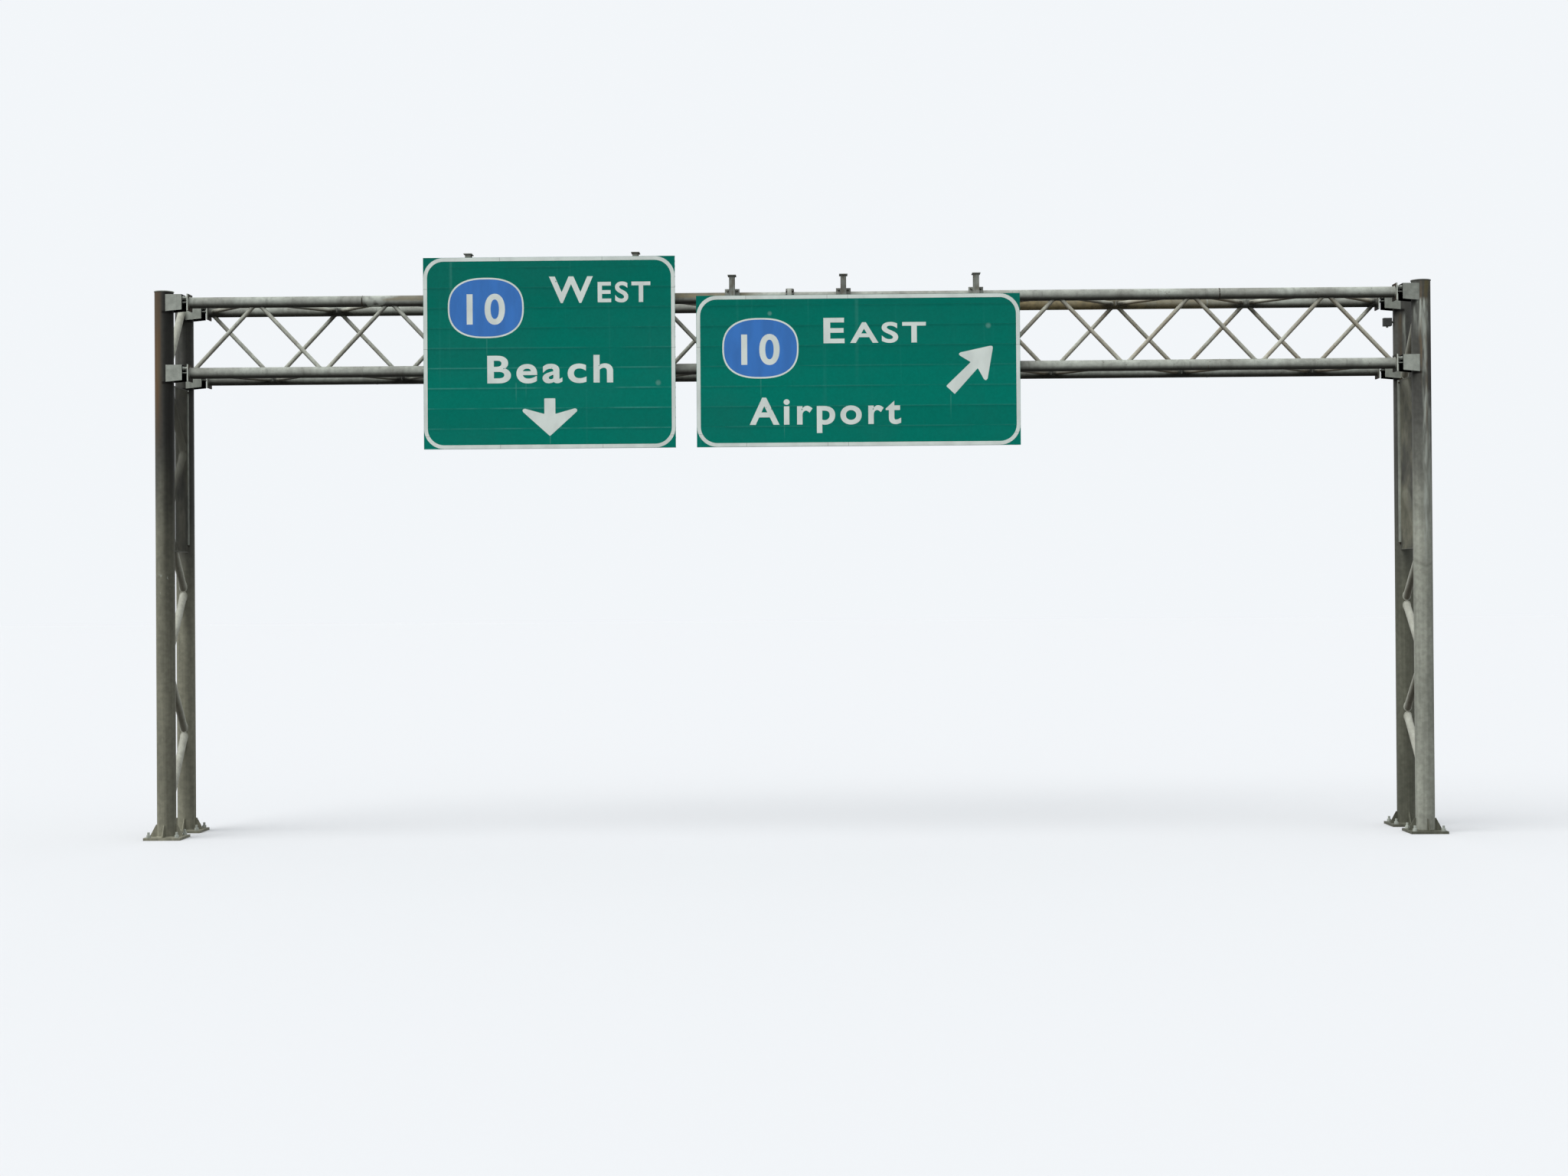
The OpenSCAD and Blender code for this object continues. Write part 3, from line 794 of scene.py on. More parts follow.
@makes("left front post steel", (0.55, 0.7), 0.1)
def left_front_finish(graph):
    """The left tower's front post: brown outer side high up, road side in painted shade and pale splashes
    low down.
    """
    post_base(graph, tone("post", 1.12), tone("post_dull"), 4.1, 6.1, 0.36)
    band = graph.z.ramp(5.6, 7.2) * graph.east.ramp(0.2, -0.55) * graph.z.ramp(8.3, 7.5, 0.5, 1.0)
    ragged = graph.noise(2.0, 4.0, stretch=(3, 3, 0.4), shift=(4, 4, 4)).ramp(0.2, 0.5, 0.5, 1.0)
    graph.cover(band * ragged, tone("stain", 1.12))
    core = graph.noise(3.0, 4.0, stretch=(6, 6, 0.3), shift=(1, 7, 2)).ramp(0.4, 0.62, 0.1, 0.75)
    graph.cover(band * core, tone("rust"))
    splash = graph.noise(16.0, 2.0, stretch=(1.2, 1.0, 0.8), shift=(2, 9, 3)).ramp(0.62, 0.7, 0.0, 0.7)
    graph.cover(splash * graph.z.band(3.6, 3.75, 3.95, 4.1), tone("zinc"))


@makes("right post steel", (0.55, 0.7), 0.1)
def right_post_finish(graph):
    """The right tower's rear post and bases, with a pale run-off from the upper seat."""
    clean = tuple(share * each for share, each in zip((0.6, 0.62, 0.62), tone("post")))
    post_base(graph, clean, tone("post_dull", 1.35), 3.2, 5.6, 0.85)
    run_offs(graph, (-0.06, 0.05, 8.0, 5.4, tone("stain", 0.9), 0.6),
             (-0.005, 0.035, 8.01, 5.8, tone("zinc", 0.9), 0.9))


@makes("right front post steel", (0.55, 0.7), 0.1)
def right_front_finish(graph):
    """The right tower's front post: pale and brown run-offs down its front, painted shade on its outer edge
    and tide marks.

    A tide mark is a dark band of height that sags by the square of the normal's X part.
    """
    post_base(graph, tone("post_pale"), tone("post_dull", 1.3), 4.4, 6.5, 0.75)
    # Painted shade on the outer edge that looks along +X, stronger higher up
    graph.shade(1.0 - graph.east.ramp(0.55, 0.85) * graph.z.ramp(5.0, 7.5, 0.0, 0.6))
    olive = (0.115, 0.1, 0.055)
    run_offs(graph, (-0.040, 0.035, 8.40, 6.6, tone("stain", 1.5), 0.7),
             (0.036, 0.035, 8.40, 5.4, tone("stain", 1.4), 0.6),
             (0.05, 0.09, 8.9, 7.75, olive, 1.2),
             (-0.015, 0.18, 8.10, 7.4, tone("zinc", 1.05), 1.5),
             (0.016, 0.06, 8.0, 3.9, tone("zinc"), 1.0),
             (0.08, 0.055, 6.7, 3.9, tone("zinc"), 0.6))
    level = graph.z + graph.noise(3.0, 3.0, shift=(0, 0, 5)) * 0.12 + graph.east * graph.east * -0.09
    uneven = graph.noise(5.0, 3.0, shift=(4, 2, 2)).ramp(0.3, 0.65, 0.35, 1.0)
    for low, deep in ((4.04, 0.05), (4.74, 0.16)):
        mark = level.band(low, low + deep, low + deep, low + 2 * deep)
        graph.cover(mark * uneven * 0.3, tone("grime_and_shade"))


def placed(low, *rows):
    """Rows of x, z and more, moved from a sign's lower left corner into the frame."""
    return [(low[0] + x, low[2] + z, *rest) for x, z, *rest in rows]


# Wear of the signs in metres: run-offs as x, top, length, half width and strength, spots as x, z and radius,
# and the places of the joints in the borders' level and upright strips
STREAKS = placed(LEFT_LOW, (1.912, 0.186, 0.32, 0.010, 0.5), (0.96, 1.67, 0.60, 0.012, 0.25),
                 (1.40, 1.00, 0.40, 0.014, 0.30), (1.55, 1.00, 0.30, 0.012, 0.22),
                 (0.42, 2.84, 1.20, 0.030, 0.22))
STREAKS += placed(RIGHT_LOW, (3.83, 0.775, 0.45, 0.012, 0.32), (0.97, 1.03, 0.60, 0.012, 0.25),
                  (1.32, 0.34, 0.30, 0.012, 0.25), (2.42, 2.25, 1.60, 0.040, 0.15))
SPOTS = placed(LEFT_LOW, (3.55, 0.98, 0.055)) + placed(RIGHT_LOW, (4.40, 1.80, 0.055), (1.11, 2.01, 0.045))
JOINTS_X = [LEFT_LOW[0] + x for x in (1.16, 2.71)] + [RIGHT_LOW[0] + x for x in (0.75, 1.975, 2.286)]
JOINTS_Z = [LEFT_LOW[2] + z for z in (0.19, 1.51, 2.42)]


@makes("green sheeting", 0.52, 0.04, bump=None)
def green_finish(graph):
    """Green sheeting: each panel has its own tone, with painted light and shade at the seams, and faint
    run-offs.

    The panel's number is the whole part of height over panel height, and its fraction is the place in it.
    """
    pale, run_tone, spot_tone = (0.05, 0.32, 0.26), (0.12, 0.4, 0.33), (0.2, 0.42, 0.36)
    row = (graph.z - LEFT_LOW[2]) / bpy.context.scene.gantry_sign.panel
    part = row.fraction()
    chance = graph.node("ShaderNodeTexWhiteNoise", {"W": row.floor()}, noise_dimensions="1D")
    graph.colour = tone("green")
    faded = (graph.colour[0] + 0.004, graph.colour[1] * 0.95, graph.colour[2] * 0.97)
    graph.cover(graph.noise(0.9, 5.0, stretch=(1, 1, 1.4)).ramp(0.3, 0.7), faded)
    graph.shade(Field(graph, chance.outputs["Value"]).ramp(0.0, 1.0, 0.95, 1.04))
    graph.shade(graph.z.ramp(7.2, 8.3, 1.0, 0.87))
    broken = graph.noise(1.7, 3.0).ramp(0.3, 0.6)
    # Painted highlight along the seams, strongest low down on the left sign
    lit = graph.z.ramp(7.7, 6.9, 0.1, 1.0) * graph.x.ramp(RIGHT_LOW[0] - 0.1, RIGHT_LOW[0] - 0.05, 1.0, 0.3)
    graph.cover(part.least(1.0 - part).ramp(0.0, 0.06, 1.0, 0.0) * lit * broken, pale)
    # Painted shade in a soft band just below each seam
    graph.shade(1.0 - part.ramp(0.82, 0.96, 0.0, 0.16) * broken)
    for x, top, run, half, share in STREAKS:
        down = graph.z.band(top - run, top, top - 0.02, top + 0.01)
        graph.cover(abs(graph.x - x).ramp(half * 0.2, half, share, 0.0) * down, run_tone)
    for x, z, radius in SPOTS:
        across, along = graph.x - x, graph.z - z
        away = (across * across + along * along).root()
        graph.cover(away.ramp(radius * 0.3, radius, 0.45, 0.0), spot_tone)
    drips = graph.noise(1.0, 4.0, stretch=(14, 1, 0.35), shift=(1.5, 0, 2))
    graph.cover(drips.ramp(0.6, 0.8, 0.0, 0.18), pale)
    graph.shade(graph.noise(30.0, 3.0).ramp(0.3, 0.7, 0.95, 1.05))


def soiled_white(graph, clean, soiled):
    """White sheeting in two faintly different shades, given as shares of the legend white."""
    graph.colour = tone("white", clean)
    graph.cover(graph.noise(2.1, 5.0, stretch=(2, 1, 1)).ramp(0.35, 0.7), tone("white", soiled))


@makes("white sheeting", 0.5, 0.3, bump=None)
def white_finish(graph):
    """White sheeting of legends, faintly soiled and chipped."""
    soiled_white(graph, 1.0, 0.88)
    graph.cover(graph.noise(16.0, 4.0, shift=(3, 3, 1)).ramp(0.7, 0.73, 0.0, 0.6), tone("green", 0.6))


@makes("border sheeting", 0.5, 0.3, bump=None)
def border_finish(graph):
    """White border with thin dark joints where its strips meet."""
    soiled_white(graph, 0.97, 0.84)
    for field, places in ((graph.x, JOINTS_X), (graph.z, JOINTS_Z)):
        for place in places:
            graph.cover(abs(field - place).ramp(0.002, 0.006, 0.4, 0.0), tone("grime_and_shade"))


@makes("blue sheeting", 0.45, 0.35, bump=None)
def blue_finish(graph):
    """Blue sheeting of the markers."""
    graph.colour = tone("blue")
    graph.shade(graph.noise(3.0, 5.0, stretch=(2, 1, 0.6)).ramp(0.3, 0.7, 0.92, 1.08))


@makes("mill aluminium", (0.4, 0.55), 0.4, 0.5, bump=None)
def mill_finish(graph):
    """Bare aluminium backs with extrusion lines along the panels."""
    graph.fine = graph.noise(1.0, 4.0, stretch=(0.4, 30, 60))
    graph.colour = tone("mill")
    graph.cover(graph.noise(1.4, 4.0).ramp(0.3, 0.7), tone("mill", 0.7))
    graph.grain(0.92, 1.06)


@makes("detector paint", 0.6, 0.15, bump=(0.0004, 0.4))
def housing_finish(graph):
    """Matt grey paint with dust on its top."""
    graph.fine = graph.noise(60.0, 3.0)
    graph.colour = tone("housing")
    graph.grain(0.85, 1.15)
    graph.cover(graph.up.ramp(0.3, 1.0, 0.0, 0.25), tone("zinc_dull"))


# Pieces

class GANTRY_OT_towers(bpy.types.Operator):
    """Posts, caps, base plates, their welds and anchor bolts"""
    bl_idname = "gantry.towers"
    bl_label = "Towers"

    def execute(self, context):
        sizes = context.scene.gantry_tower
        across, tall, washer = sizes.bolt * 1.52, sizes.bolt * 0.95, 0.005
        anchor = fastener(across, tall, sizes.bolt, sizes.bolt_out - tall - washer, washer)
        at_foot = fillet(POST_R, 0.012, 0.007, 0.014, 48)
        under_cap = turned([(POST_R - 0.001, -0.008), (POST_R + 0.005, 0.0)], 48)
        for side, sign, steel, cap in (("left", -1, "post steel", "bright steel"),
                                       ("right", 1, "right post steel", "dull steel")):
            coat([f"{side}_post_front"], f"{side} front post steel")
            coat([f"{side}_post_rear", f"{side}_base_front", f"{side}_base_rear"], steel)
            coat([f"{side}_post_caps"], cap)
            rods, seams = [], []
            for y in (FRONT, REAR):
                spots = [(sign * POST_X + i * sizes.bolt_pitch / 2, y + j * sizes.bolt_pitch / 2, BASE_TOP)
                         for i in (-1, 1) for j in (-1, 1)]
                rods.append(copies(anchor, spots, (0, 0, 1)))
                seams.append(copies(at_foot, (sign * POST_X, y, BASE_TOP), (0, 0, 1)))
                seams.append(copies(under_cap, (sign * POST_X, y, POST_HIGH[2]), (0, 0, 1)))
            make(f"{side}_anchor_bolts", rods, "bright steel")
            make(f"{side}_post_welds", seams, steel)
        return {"FINISHED"}


class GANTRY_OT_lacing(bpy.types.Operator):
    """Round lacing pipes of both towers with their welds"""
    bl_idname = "gantry.lacing"
    bl_label = "Tower lacing"

    def execute(self, context):
        sizes = context.scene.gantry_tower
        half = (REAR - FRONT) / 2 - POST_R + sizes.inset
        plans = (("left", -1, 1, sizes.left_top, sizes.left_low, sizes.left_panel),
                 ("right", 1, -1, sizes.right_top, sizes.right_low, sizes.right_panel))
        for side, sign, turn, top, low, panel in plans:
            x = sign * POST_X
            count = int(math.floor((BOTTOM - low - sizes.foot) / panel))
            heights = [TOP - top] + [BOTTOM - low - i * panel for i in range(count + 1)]
            pipes, welds = [], []
            for i in range(count + 1):
                start_z = heights[i] - (sizes.apart if i > 0 else 0.0)
                end_z = heights[i + 1] + (sizes.apart if i < count else 0.0)
                p, q = (x, DEEP + turn * half, start_z), (x, DEEP - turn * half, end_z)
                hosts = [(x, REAR if each > 0 else FRONT, 0) for each in (turn, -turn)]
                body, seams, axis = coped(p, q, sizes.pipe / 2, *hosts, (0, 0, 1), POST_R, 40)
                pipes.append(body)
                welds += [bead(seam, axis, sizes.bead, 8, 13) for seam in seams]
                turn = -turn
            make(f"{side}_lacing_pipes", pipes, "lacing steel", [f"{side}_lacing"])
            make(f"{side}_lacing_welds", welds, "lacing steel")
        return {"FINISHED"}


class GANTRY_OT_screens(bpy.types.Operator):
    """Expanded-metal anti-climb screens with their edge strips"""
    bl_idname = "gantry.screens"
    bl_label = "Anti-climb screens"

    def execute(self, context):
        sizes = context.scene.gantry_screen
        half_t, strip, inset, gap, lip, bolt_in = 0.0015, sizes.strip, 0.004, 0.001, 0.03, 0.016
        bolt = fastener(0.024, 0.013, 0.013, 0.006, 0.003)
        for side, sign in SIDES:
            low, high = corners(f"{side}_screen")
            foot, head = low[2] + SCREEN_LIFT[side], high[2]
            stop = foot + sizes.short_fold
            far, near = max(abs(low[0]), abs(high[0])), min(abs(low[0]), abs(high[0]))
            x = sign * (far - sizes.depth / 2)
            y0, y1 = low[1], high[1] - inset
            strands = self.strands(sizes, x, y0, y1, foot + strip / 2, head - strip / 2)
            make(f"{side}_screen_mesh", [strands], "screen steel", [f"{side}_screen"])
            strips = [slab((x - half_t, y0, foot), (x + half_t, y1, foot + strip)),
                      slab((x - half_t, y0, head - strip), (x + half_t, y1, head)),
                      slab((x - half_t, y0, foot), (x + half_t, y0 + strip, head))]
            make(f"{side}_screen_edges", strips, "right post steel", bevel=0.0005)
            reach = 0.022 if sign < 0 else far - near
            fold = [slab((sign * (far - reach), y1 - inset, stop), (sign * far, y1 - gap, head)),
                    slab((x - half_t, y1 - lip, stop), (x + half_t, y1, head))]
            make(f"{side}_screen_fold", fold, "bright steel", bevel=0.0006)
            spots = [(x - sign * sizes.depth / 2, y1 - bolt_in, z) for z in (stop - 0.02, head - 0.04)]
            make(f"{side}_screen_bolts", [copies(bolt, spots, (-sign, 0, 0))], "dark steel")
        return {"FINISHED"}

    def strands(self, sizes, x, y0, y1, z0, z1):
        """Strand i is a zigzag: at step j its height is (i + (i + j) mod 2) half short ways.

        Each strand has a square section, so that neighbours meet at every other step and leave diamonds.
        """
        steps = int(math.ceil((y1 - y0) / (sizes.long / 2))) + 1
        count = int((z1 - z0) / (sizes.short / 2))
        i = np.arange(count)[:, None]
        j = np.arange(steps)[None, :]
        tall = sizes.strand / 2 * math.hypot(1, sizes.short / sizes.long)
        rings = np.empty((count, steps, 4, 3))
        for k, (a, b) in enumerate(((-1, -1), (1, -1), (1, 1), (-1, 1))):
            rings[:, :, k, 0] = x + b * sizes.depth / 2
            rings[:, :, k, 1] = np.minimum(y0 + j * sizes.long / 2, y1)
            rings[:, :, k, 2] = z0 + (i + (i + j) % 2) * sizes.short / 2 + a * tall
        return joined([sweep(strand) for strand in rings])


class GANTRY_OT_chords(bpy.types.Operator):
    """Chord pipes with butt welds, end-plate welds, midspan splice bolts and flange welds"""
    bl_idname = "gantry.chords"
    bl_label = "Chords"

    def execute(self, context):
        sizes = context.scene.gantry_truss
        radius = sizes.chord / 2
        halves = itertools.product(("front", "rear"), ("top", "bottom"), ("left", "right"))
        coat([f"{row}_{level}_chord_{side}" for row, level, side in halves], "tube steel")
        coat(["front_top_chord_left", "rear_top_chord_right"], "stained steel")
        at_plate = fillet(radius, 0.010, 0.006, 0.012, 40)
        width = 0.011
        ring = turned([(radius - 0.001, -width), (radius + 0.0022, -width / 2), (radius + 0.003, 0),
                       (radius + 0.0022, width / 2), (radius - 0.001, width)], 40)
        across, washer, bolts_round = 0.046, 0.0045, 10
        head = joined([turned([(0.030, 0), (0.030, washer)], 16), raised(nut(across, 0.020), washer)])
        lock = fastener(across, 0.026, 0.029, 0.006, washer)
        circle = sizes.flange / 2 - 0.029
        angle = (np.arange(bolts_round) + 0.5) * 2 * math.pi / bolts_round
        for row, y in ROWS:
            for level, z in LEVELS:
                welds = []
                for sign in (-1, 1):
                    welds.append(copies(at_plate, (sign * (END_X - sizes.plate_t), y, z), (-sign, 0, 0)))
                    welds.append(copies(at_plate, (sign * sizes.flange_t, y, z), (sign, 0, 0)))
                make(f"{row}_{level}_chord_welds", welds, "tube steel")
                rings = [copies(ring, [(sign * sizes.butt, y, z) for sign in (-1, 1)], (1, 0, 0))]
                steel = "dark steel" if (row, level) == ("front", "top") else "tube steel"
                make(f"{row}_{level}_butt_welds", rings, steel)
                spots = np.stack([0 * angle, y + circle * np.cos(angle), z + circle * np.sin(angle)], 1)
                bolts = [copies(head, spots - [sizes.flange_t, 0, 0], (-1, 0, 0)),
                         copies(lock, spots + [sizes.flange_t, 0, 0], (1, 0, 0))]
                make(f"{row}_{level}_splice_bolts", bolts, "dull steel")
        return {"FINISHED"}


def node_places(sizes):
    """Distances of the truss's nodes from midspan, half a bay apart, from the end one to the splice one."""
    places = (sizes.bays / 2 - np.arange(sizes.bays + 1) / 2) * sizes.bay
    places[-1] = sizes.splice
    return places


class GANTRY_OT_tubes(bpy.types.Operator):
    """Round web and bracing tubes, coped and welded to the chords"""
    bl_idname = "gantry.tubes"
    bl_label = "Web and bracing tubes"

    def execute(self, context):
        sizes = context.scene.gantry_truss
        places = node_places(sizes)
        faces = (("front_web", (FRONT, BOTTOM), (FRONT, TOP)),
                 ("rear_web", (REAR, TOP), (REAR, BOTTOM)),
                 ("top_bracing", (REAR, TOP), (FRONT, TOP)),
                 ("bottom_bracing", (FRONT, BOTTOM), (REAR, BOTTOM)))
        for name, here, there in faces:
            for side, sign in SIDES:
                tubes, welds = [], []
                for k in range(sizes.bays):
                    start, end = (here, there) if k % 2 == 0 else (there, here)
                    p, q = (sign * places[k], *start), (sign * places[k + 1], *end)
                    body, seams, axis = coped(p, q, sizes.tube / 2, p, q, (1, 0, 0), sizes.chord / 2, 28)
                    tubes.append(body)
                    welds += [bead(seam, axis, sizes.bead, 6, 9) for seam in seams]
                make(f"{name}_{side}_tubes", tubes, "web steel", nodes=[f"{name}_{side}"])
                make(f"{name}_{side}_welds", welds, "tube steel")
        fins, half_t, half_h, out, sunk = [], 0.004, 0.035, 0.07, 0.004
        wall = REAR - sizes.chord / 2
        for z, first in ((TOP, 2), (BOTTOM, 1)):
            for x in [sign * place for place in places[first:sizes.bays:2] for sign in (-1, 1)]:
                fins.append(slab((x - half_t, wall - out, z - half_h),
                                 (x + half_t, wall + sunk, z + half_h)))
        make("bracing_fins", fins, "dull steel", bevel=0.0015)
        return {"FINISHED"}


class GANTRY_OT_seats(bpy.types.Operator):
    """Seat boxes on the posts with the stud nuts between seat and end plate"""
    bl_idname = "gantry.seats"
    bl_label = "Seats"

    def execute(self, context):
        pitch, rise, gap = 0.15, 0.068, 0.076
        stud_nut = fastener(0.050, 0.026, 0.032, 0.0, 0.005)
        for side, sign in SIDES:
            coat([f"{side}_front_seats", f"{side}_rear_seats"], "seat steel")
            nuts = []
            for y, z, j in itertools.product((FRONT, REAR), (TOP, BOTTOM), (-1, 1)):
                at = (y + j * pitch / 2, z + rise)
                nuts.append(copies(stud_nut, (sign * END_X, *at), (sign, 0, 0)))
                nuts.append(copies(stud_nut, (sign * (END_X + gap), *at), (-sign, 0, 0)))
            make(f"{side}_seat_nuts", nuts, "bright steel")
        return {"FINISHED"}


class GANTRY_OT_signs(bpy.types.Operator):
    """Extruded panels and white borders of both signs"""
    bl_idname = "gantry.signs"
    bl_label = "Sign panels"

    def execute(self, context):
        sizes = context.scene.gantry_sign
        seam, least = 0.0004, 0.07
        for side in ("left", "right"):
            low, high = corners(f"{side}_sign")
            tall = high[2] - low[2]
            full = int(tall / sizes.panel + 0.001)
            heights = [sizes.panel] * full
            if tall - full * sizes.panel > least:
                heights.append(tall - full * sizes.panel)
            panels, z = [], low[2]
            for h in heights:
                panels.append(extruded(self.section(sizes, h - seam), (low[0], low[1] + sizes.raised, z),
                                       (0, 1, 0), (0, 0, 1), high[0] - low[0]))
                z += h
            board = make(f"{side}_sign_panels", panels, "mill aluminium", [f"{side}_sign"])
            board.data.materials.append(surface("green sheeting"))
            self.face(board.data, low[1] + sizes.raised + 0.004)
            make(f"{side}_sign_border", [self.border(sizes, low, high)], "border sheeting")
        return {"FINISHED"}

    def section(self, sizes, h):
        """Outline of one panel, depth by height: face with cut corners, and three ribs with lips."""
        d, t, lip, c = sizes.depth - sizes.raised, sizes.sheet, sizes.lip, 0.0006
        return [(c, 0), (d, 0), (d, lip / 2), (d - t, lip / 2), (d - t, t), (t, t), (t, (h - t) / 2),
                (d - t, (h - t) / 2), (d - t, (h - lip) / 2), (d, (h - lip) / 2), (d, (h + lip) / 2),
                (d - t, (h + lip) / 2), (d - t, (h + t) / 2), (t, (h + t) / 2), (t, h - t), (d - t, h - t),
                (d - t, h - lip / 2), (d, h - lip / 2), (d, h), (c, h), (0, h - c), (0, c)]

    def face(self, mesh, limit):
        """Gives the green sheeting to the faces that look forward and lie in front of a limit."""
        count = len(mesh.polygons)
        centre, normal = np.empty(count * 3), np.empty(count * 3)
        mesh.polygons.foreach_get("center", centre)
        mesh.polygons.foreach_get("normal", normal)
        green = (centre[1::3] < limit) & (normal[1::3] < -0.3)
        mesh.polygons.foreach_set("material_index", green.astype(np.int32))

    def border(self, sizes, low, high):
        """Closed band: a thin four-cornered section carried round two rounded rectangles."""
        margin = 0.006
        width, height = high[0] - low[0] - margin, high[2] - low[2] - margin
        centre = (low + high) / 2
        outer = rounded(width, height, sizes.corner)
        inner = rounded(width - 2 * sizes.border, height - 2 * sizes.border, sizes.corner - sizes.border)
        front, back = low[1] + 0.0003, low[1] + sizes.raised + 0.0004
        rings = np.empty((len(outer), 4, 3))
        for k, (outline, y) in enumerate(((outer, front), (inner, front), (inner, back), (outer, back))):
            rings[:, k] = np.insert(outline + centre[[0, 2]], 1, y, axis=1)
        return outward(sweep(rings, loop=True))


# Layout of the signs in metres from each one's lower left corner: the arrow's outline, the marker's centre,
# and the heading's and the line's left, foot and width with the heights of their letters
DOWN_ARROW = ((1.825, 0.757), (1.992, 0.757), (1.992, 0.521), (2.291, 0.605), (2.322, 0.586), (2.318, 0.556),
              (1.908, 0.186), (1.499, 0.556), (1.495, 0.586), (1.526, 0.605), (1.825, 0.521))
UP_ARROW = ((4.432, 1.495), (4.462, 1.488), (4.466, 1.460), (4.385, 0.997), (4.357, 0.972), (4.330, 0.990),
            (4.238, 1.159), (3.889, 0.771), (3.761, 0.893), (4.133, 1.250), (3.968, 1.350), (3.954, 1.374),
            (3.975, 1.397))
LAYOUT = (
    ("left", DOWN_ARROW, (0.948, 2.131), (1.907, 2.21, 1.533), (0.40, 0.31), (0.965, 1.002, 1.903), 0.42),
    ("right", UP_ARROW, (0.967, 1.486), (1.919, 1.563, 1.543), (0.385, 0.31), (0.797, 0.342, 2.282), 0.41),
)


class GANTRY_OT_legends(bpy.types.Operator):
    """Generic words, route markers and arrows of both signs"""
    bl_idname = "gantry.legends"
    bl_label = "Sign legends"

    def execute(self, context):
        sizes = context.scene.gantry_sign
        for side, arrow, spot, way_at, caps, place_at, cap in LAYOUT:
            route, way, place = (getattr(sizes, f"{side}_{each}") for each in ("route", "way", "place"))
            low = corners(f"{side}_sign")[0]
            y = low[1] + sizes.raised
            outline = softened(np.array(arrow) + [low[0], low[2]], 0.012)
            shape = extruded(outline, (0, y + 0.0002, 0), (1, 0, 0), (0, 0, 1), sizes.raised - 0.0001)
            make(f"{side}_arrow", [shape], "white sheeting")
            self.marker(side, low, y, spot, route)
            self.words(f"{side}_heading", [(way[0], caps[0]), (way[1:].upper(), caps[1])], way_at, low, y)
            self.words(f"{side}_line", [(place, cap)], place_at, low, y)
        return {"FINISHED"}

    def marker(self, side, low, y, spot, route):
        """Plain oval marker: |x / a| ^ 2.5 + |z / b| ^ 2.5 = 1, white with a blue field and white figure."""
        sides, power = 72, 2.5
        angle = np.arange(sides) * 2 * math.pi / sides
        turn = np.stack([np.cos(angle), np.sin(angle)], 1)
        oval = np.sign(turn) * np.abs(turn) ** (2 / power)
        centre = (low[0] + spot[0], y, low[2] + spot[1])
        for part, size, depth, sheeting in (("rim", (0.575, 0.457), 0.0005, "white sheeting"),
                                            ("field", (0.551, 0.433), 0.0008, "blue sheeting")):
            block = extruded(oval * size, centre, (1, 0, 0), (0, 0, 1), depth)
            make(f"{side}_marker_{part}", [block], sheeting)
        self.words(f"{side}_marker_figure", [(route, 0.46)], (spot[0] - 0.29, spot[1] - 0.235, 0.58), low, y)

    def letters(self, text):
        """Points and faces of a flat text one unit high."""
        curve = bpy.data.curves.new("letters", "FONT")
        curve.body = text
        curve.offset = 0.022
        curve.space_character = 1.2
        curve.resolution_u = 8
        holder = bpy.data.objects.new("letters", curve)
        bpy.context.collection.objects.link(holder)
        bpy.context.view_layer.update()
        flat = bpy.data.meshes.new_from_object(holder)
        points = np.empty(len(flat.vertices) * 3)
        flat.vertices.foreach_get("co", points)
        faces = [tuple(face.vertices) for face in flat.polygons]
        bpy.data.objects.remove(holder)
        bpy.data.curves.remove(curve)
        bpy.data.meshes.remove(flat)
        return points.reshape(-1, 3), faces

    def words(self, name, runs, at, low, y):
        """Letters as one mesh: each run has its own height, and the whole is fitted to the given width.

        A letter's point (a, b, c) goes to x = left + k a, z = foot + b and y = front - c.
        """
        capital, space, thick, ahead = 0.729, 0.16, 0.0007, 0.0009
        spots, polygons, start, pen = [], [], 0, 0.0
        for text, height in runs:
            if text:
                points, faces = self.letters(text)
                points = points * (height / capital)
                points[:, 0] += pen - points[:, 0].min()
                pen = points[:, 0].max() + space * height
                spots.append(points)
                polygons += [tuple(start + each for each in face) for face in faces]
                start += len(points)
        points = np.concatenate(spots)
        laid = np.stack([low[0] + at[0] + points[:, 0] * at[2] / points[:, 0].max(),
                         np.full(len(points), y - ahead), low[2] + at[1] + points[:, 1]], 1)
        mesh = bpy.data.meshes.new(name)
        mesh.from_pydata(laid, [], polygons)
        wall = adopt(name, mesh, "white sheeting").modifiers.new("Thickness", "SOLIDIFY")
        wall.thickness = thick
        wall.offset = -1.0


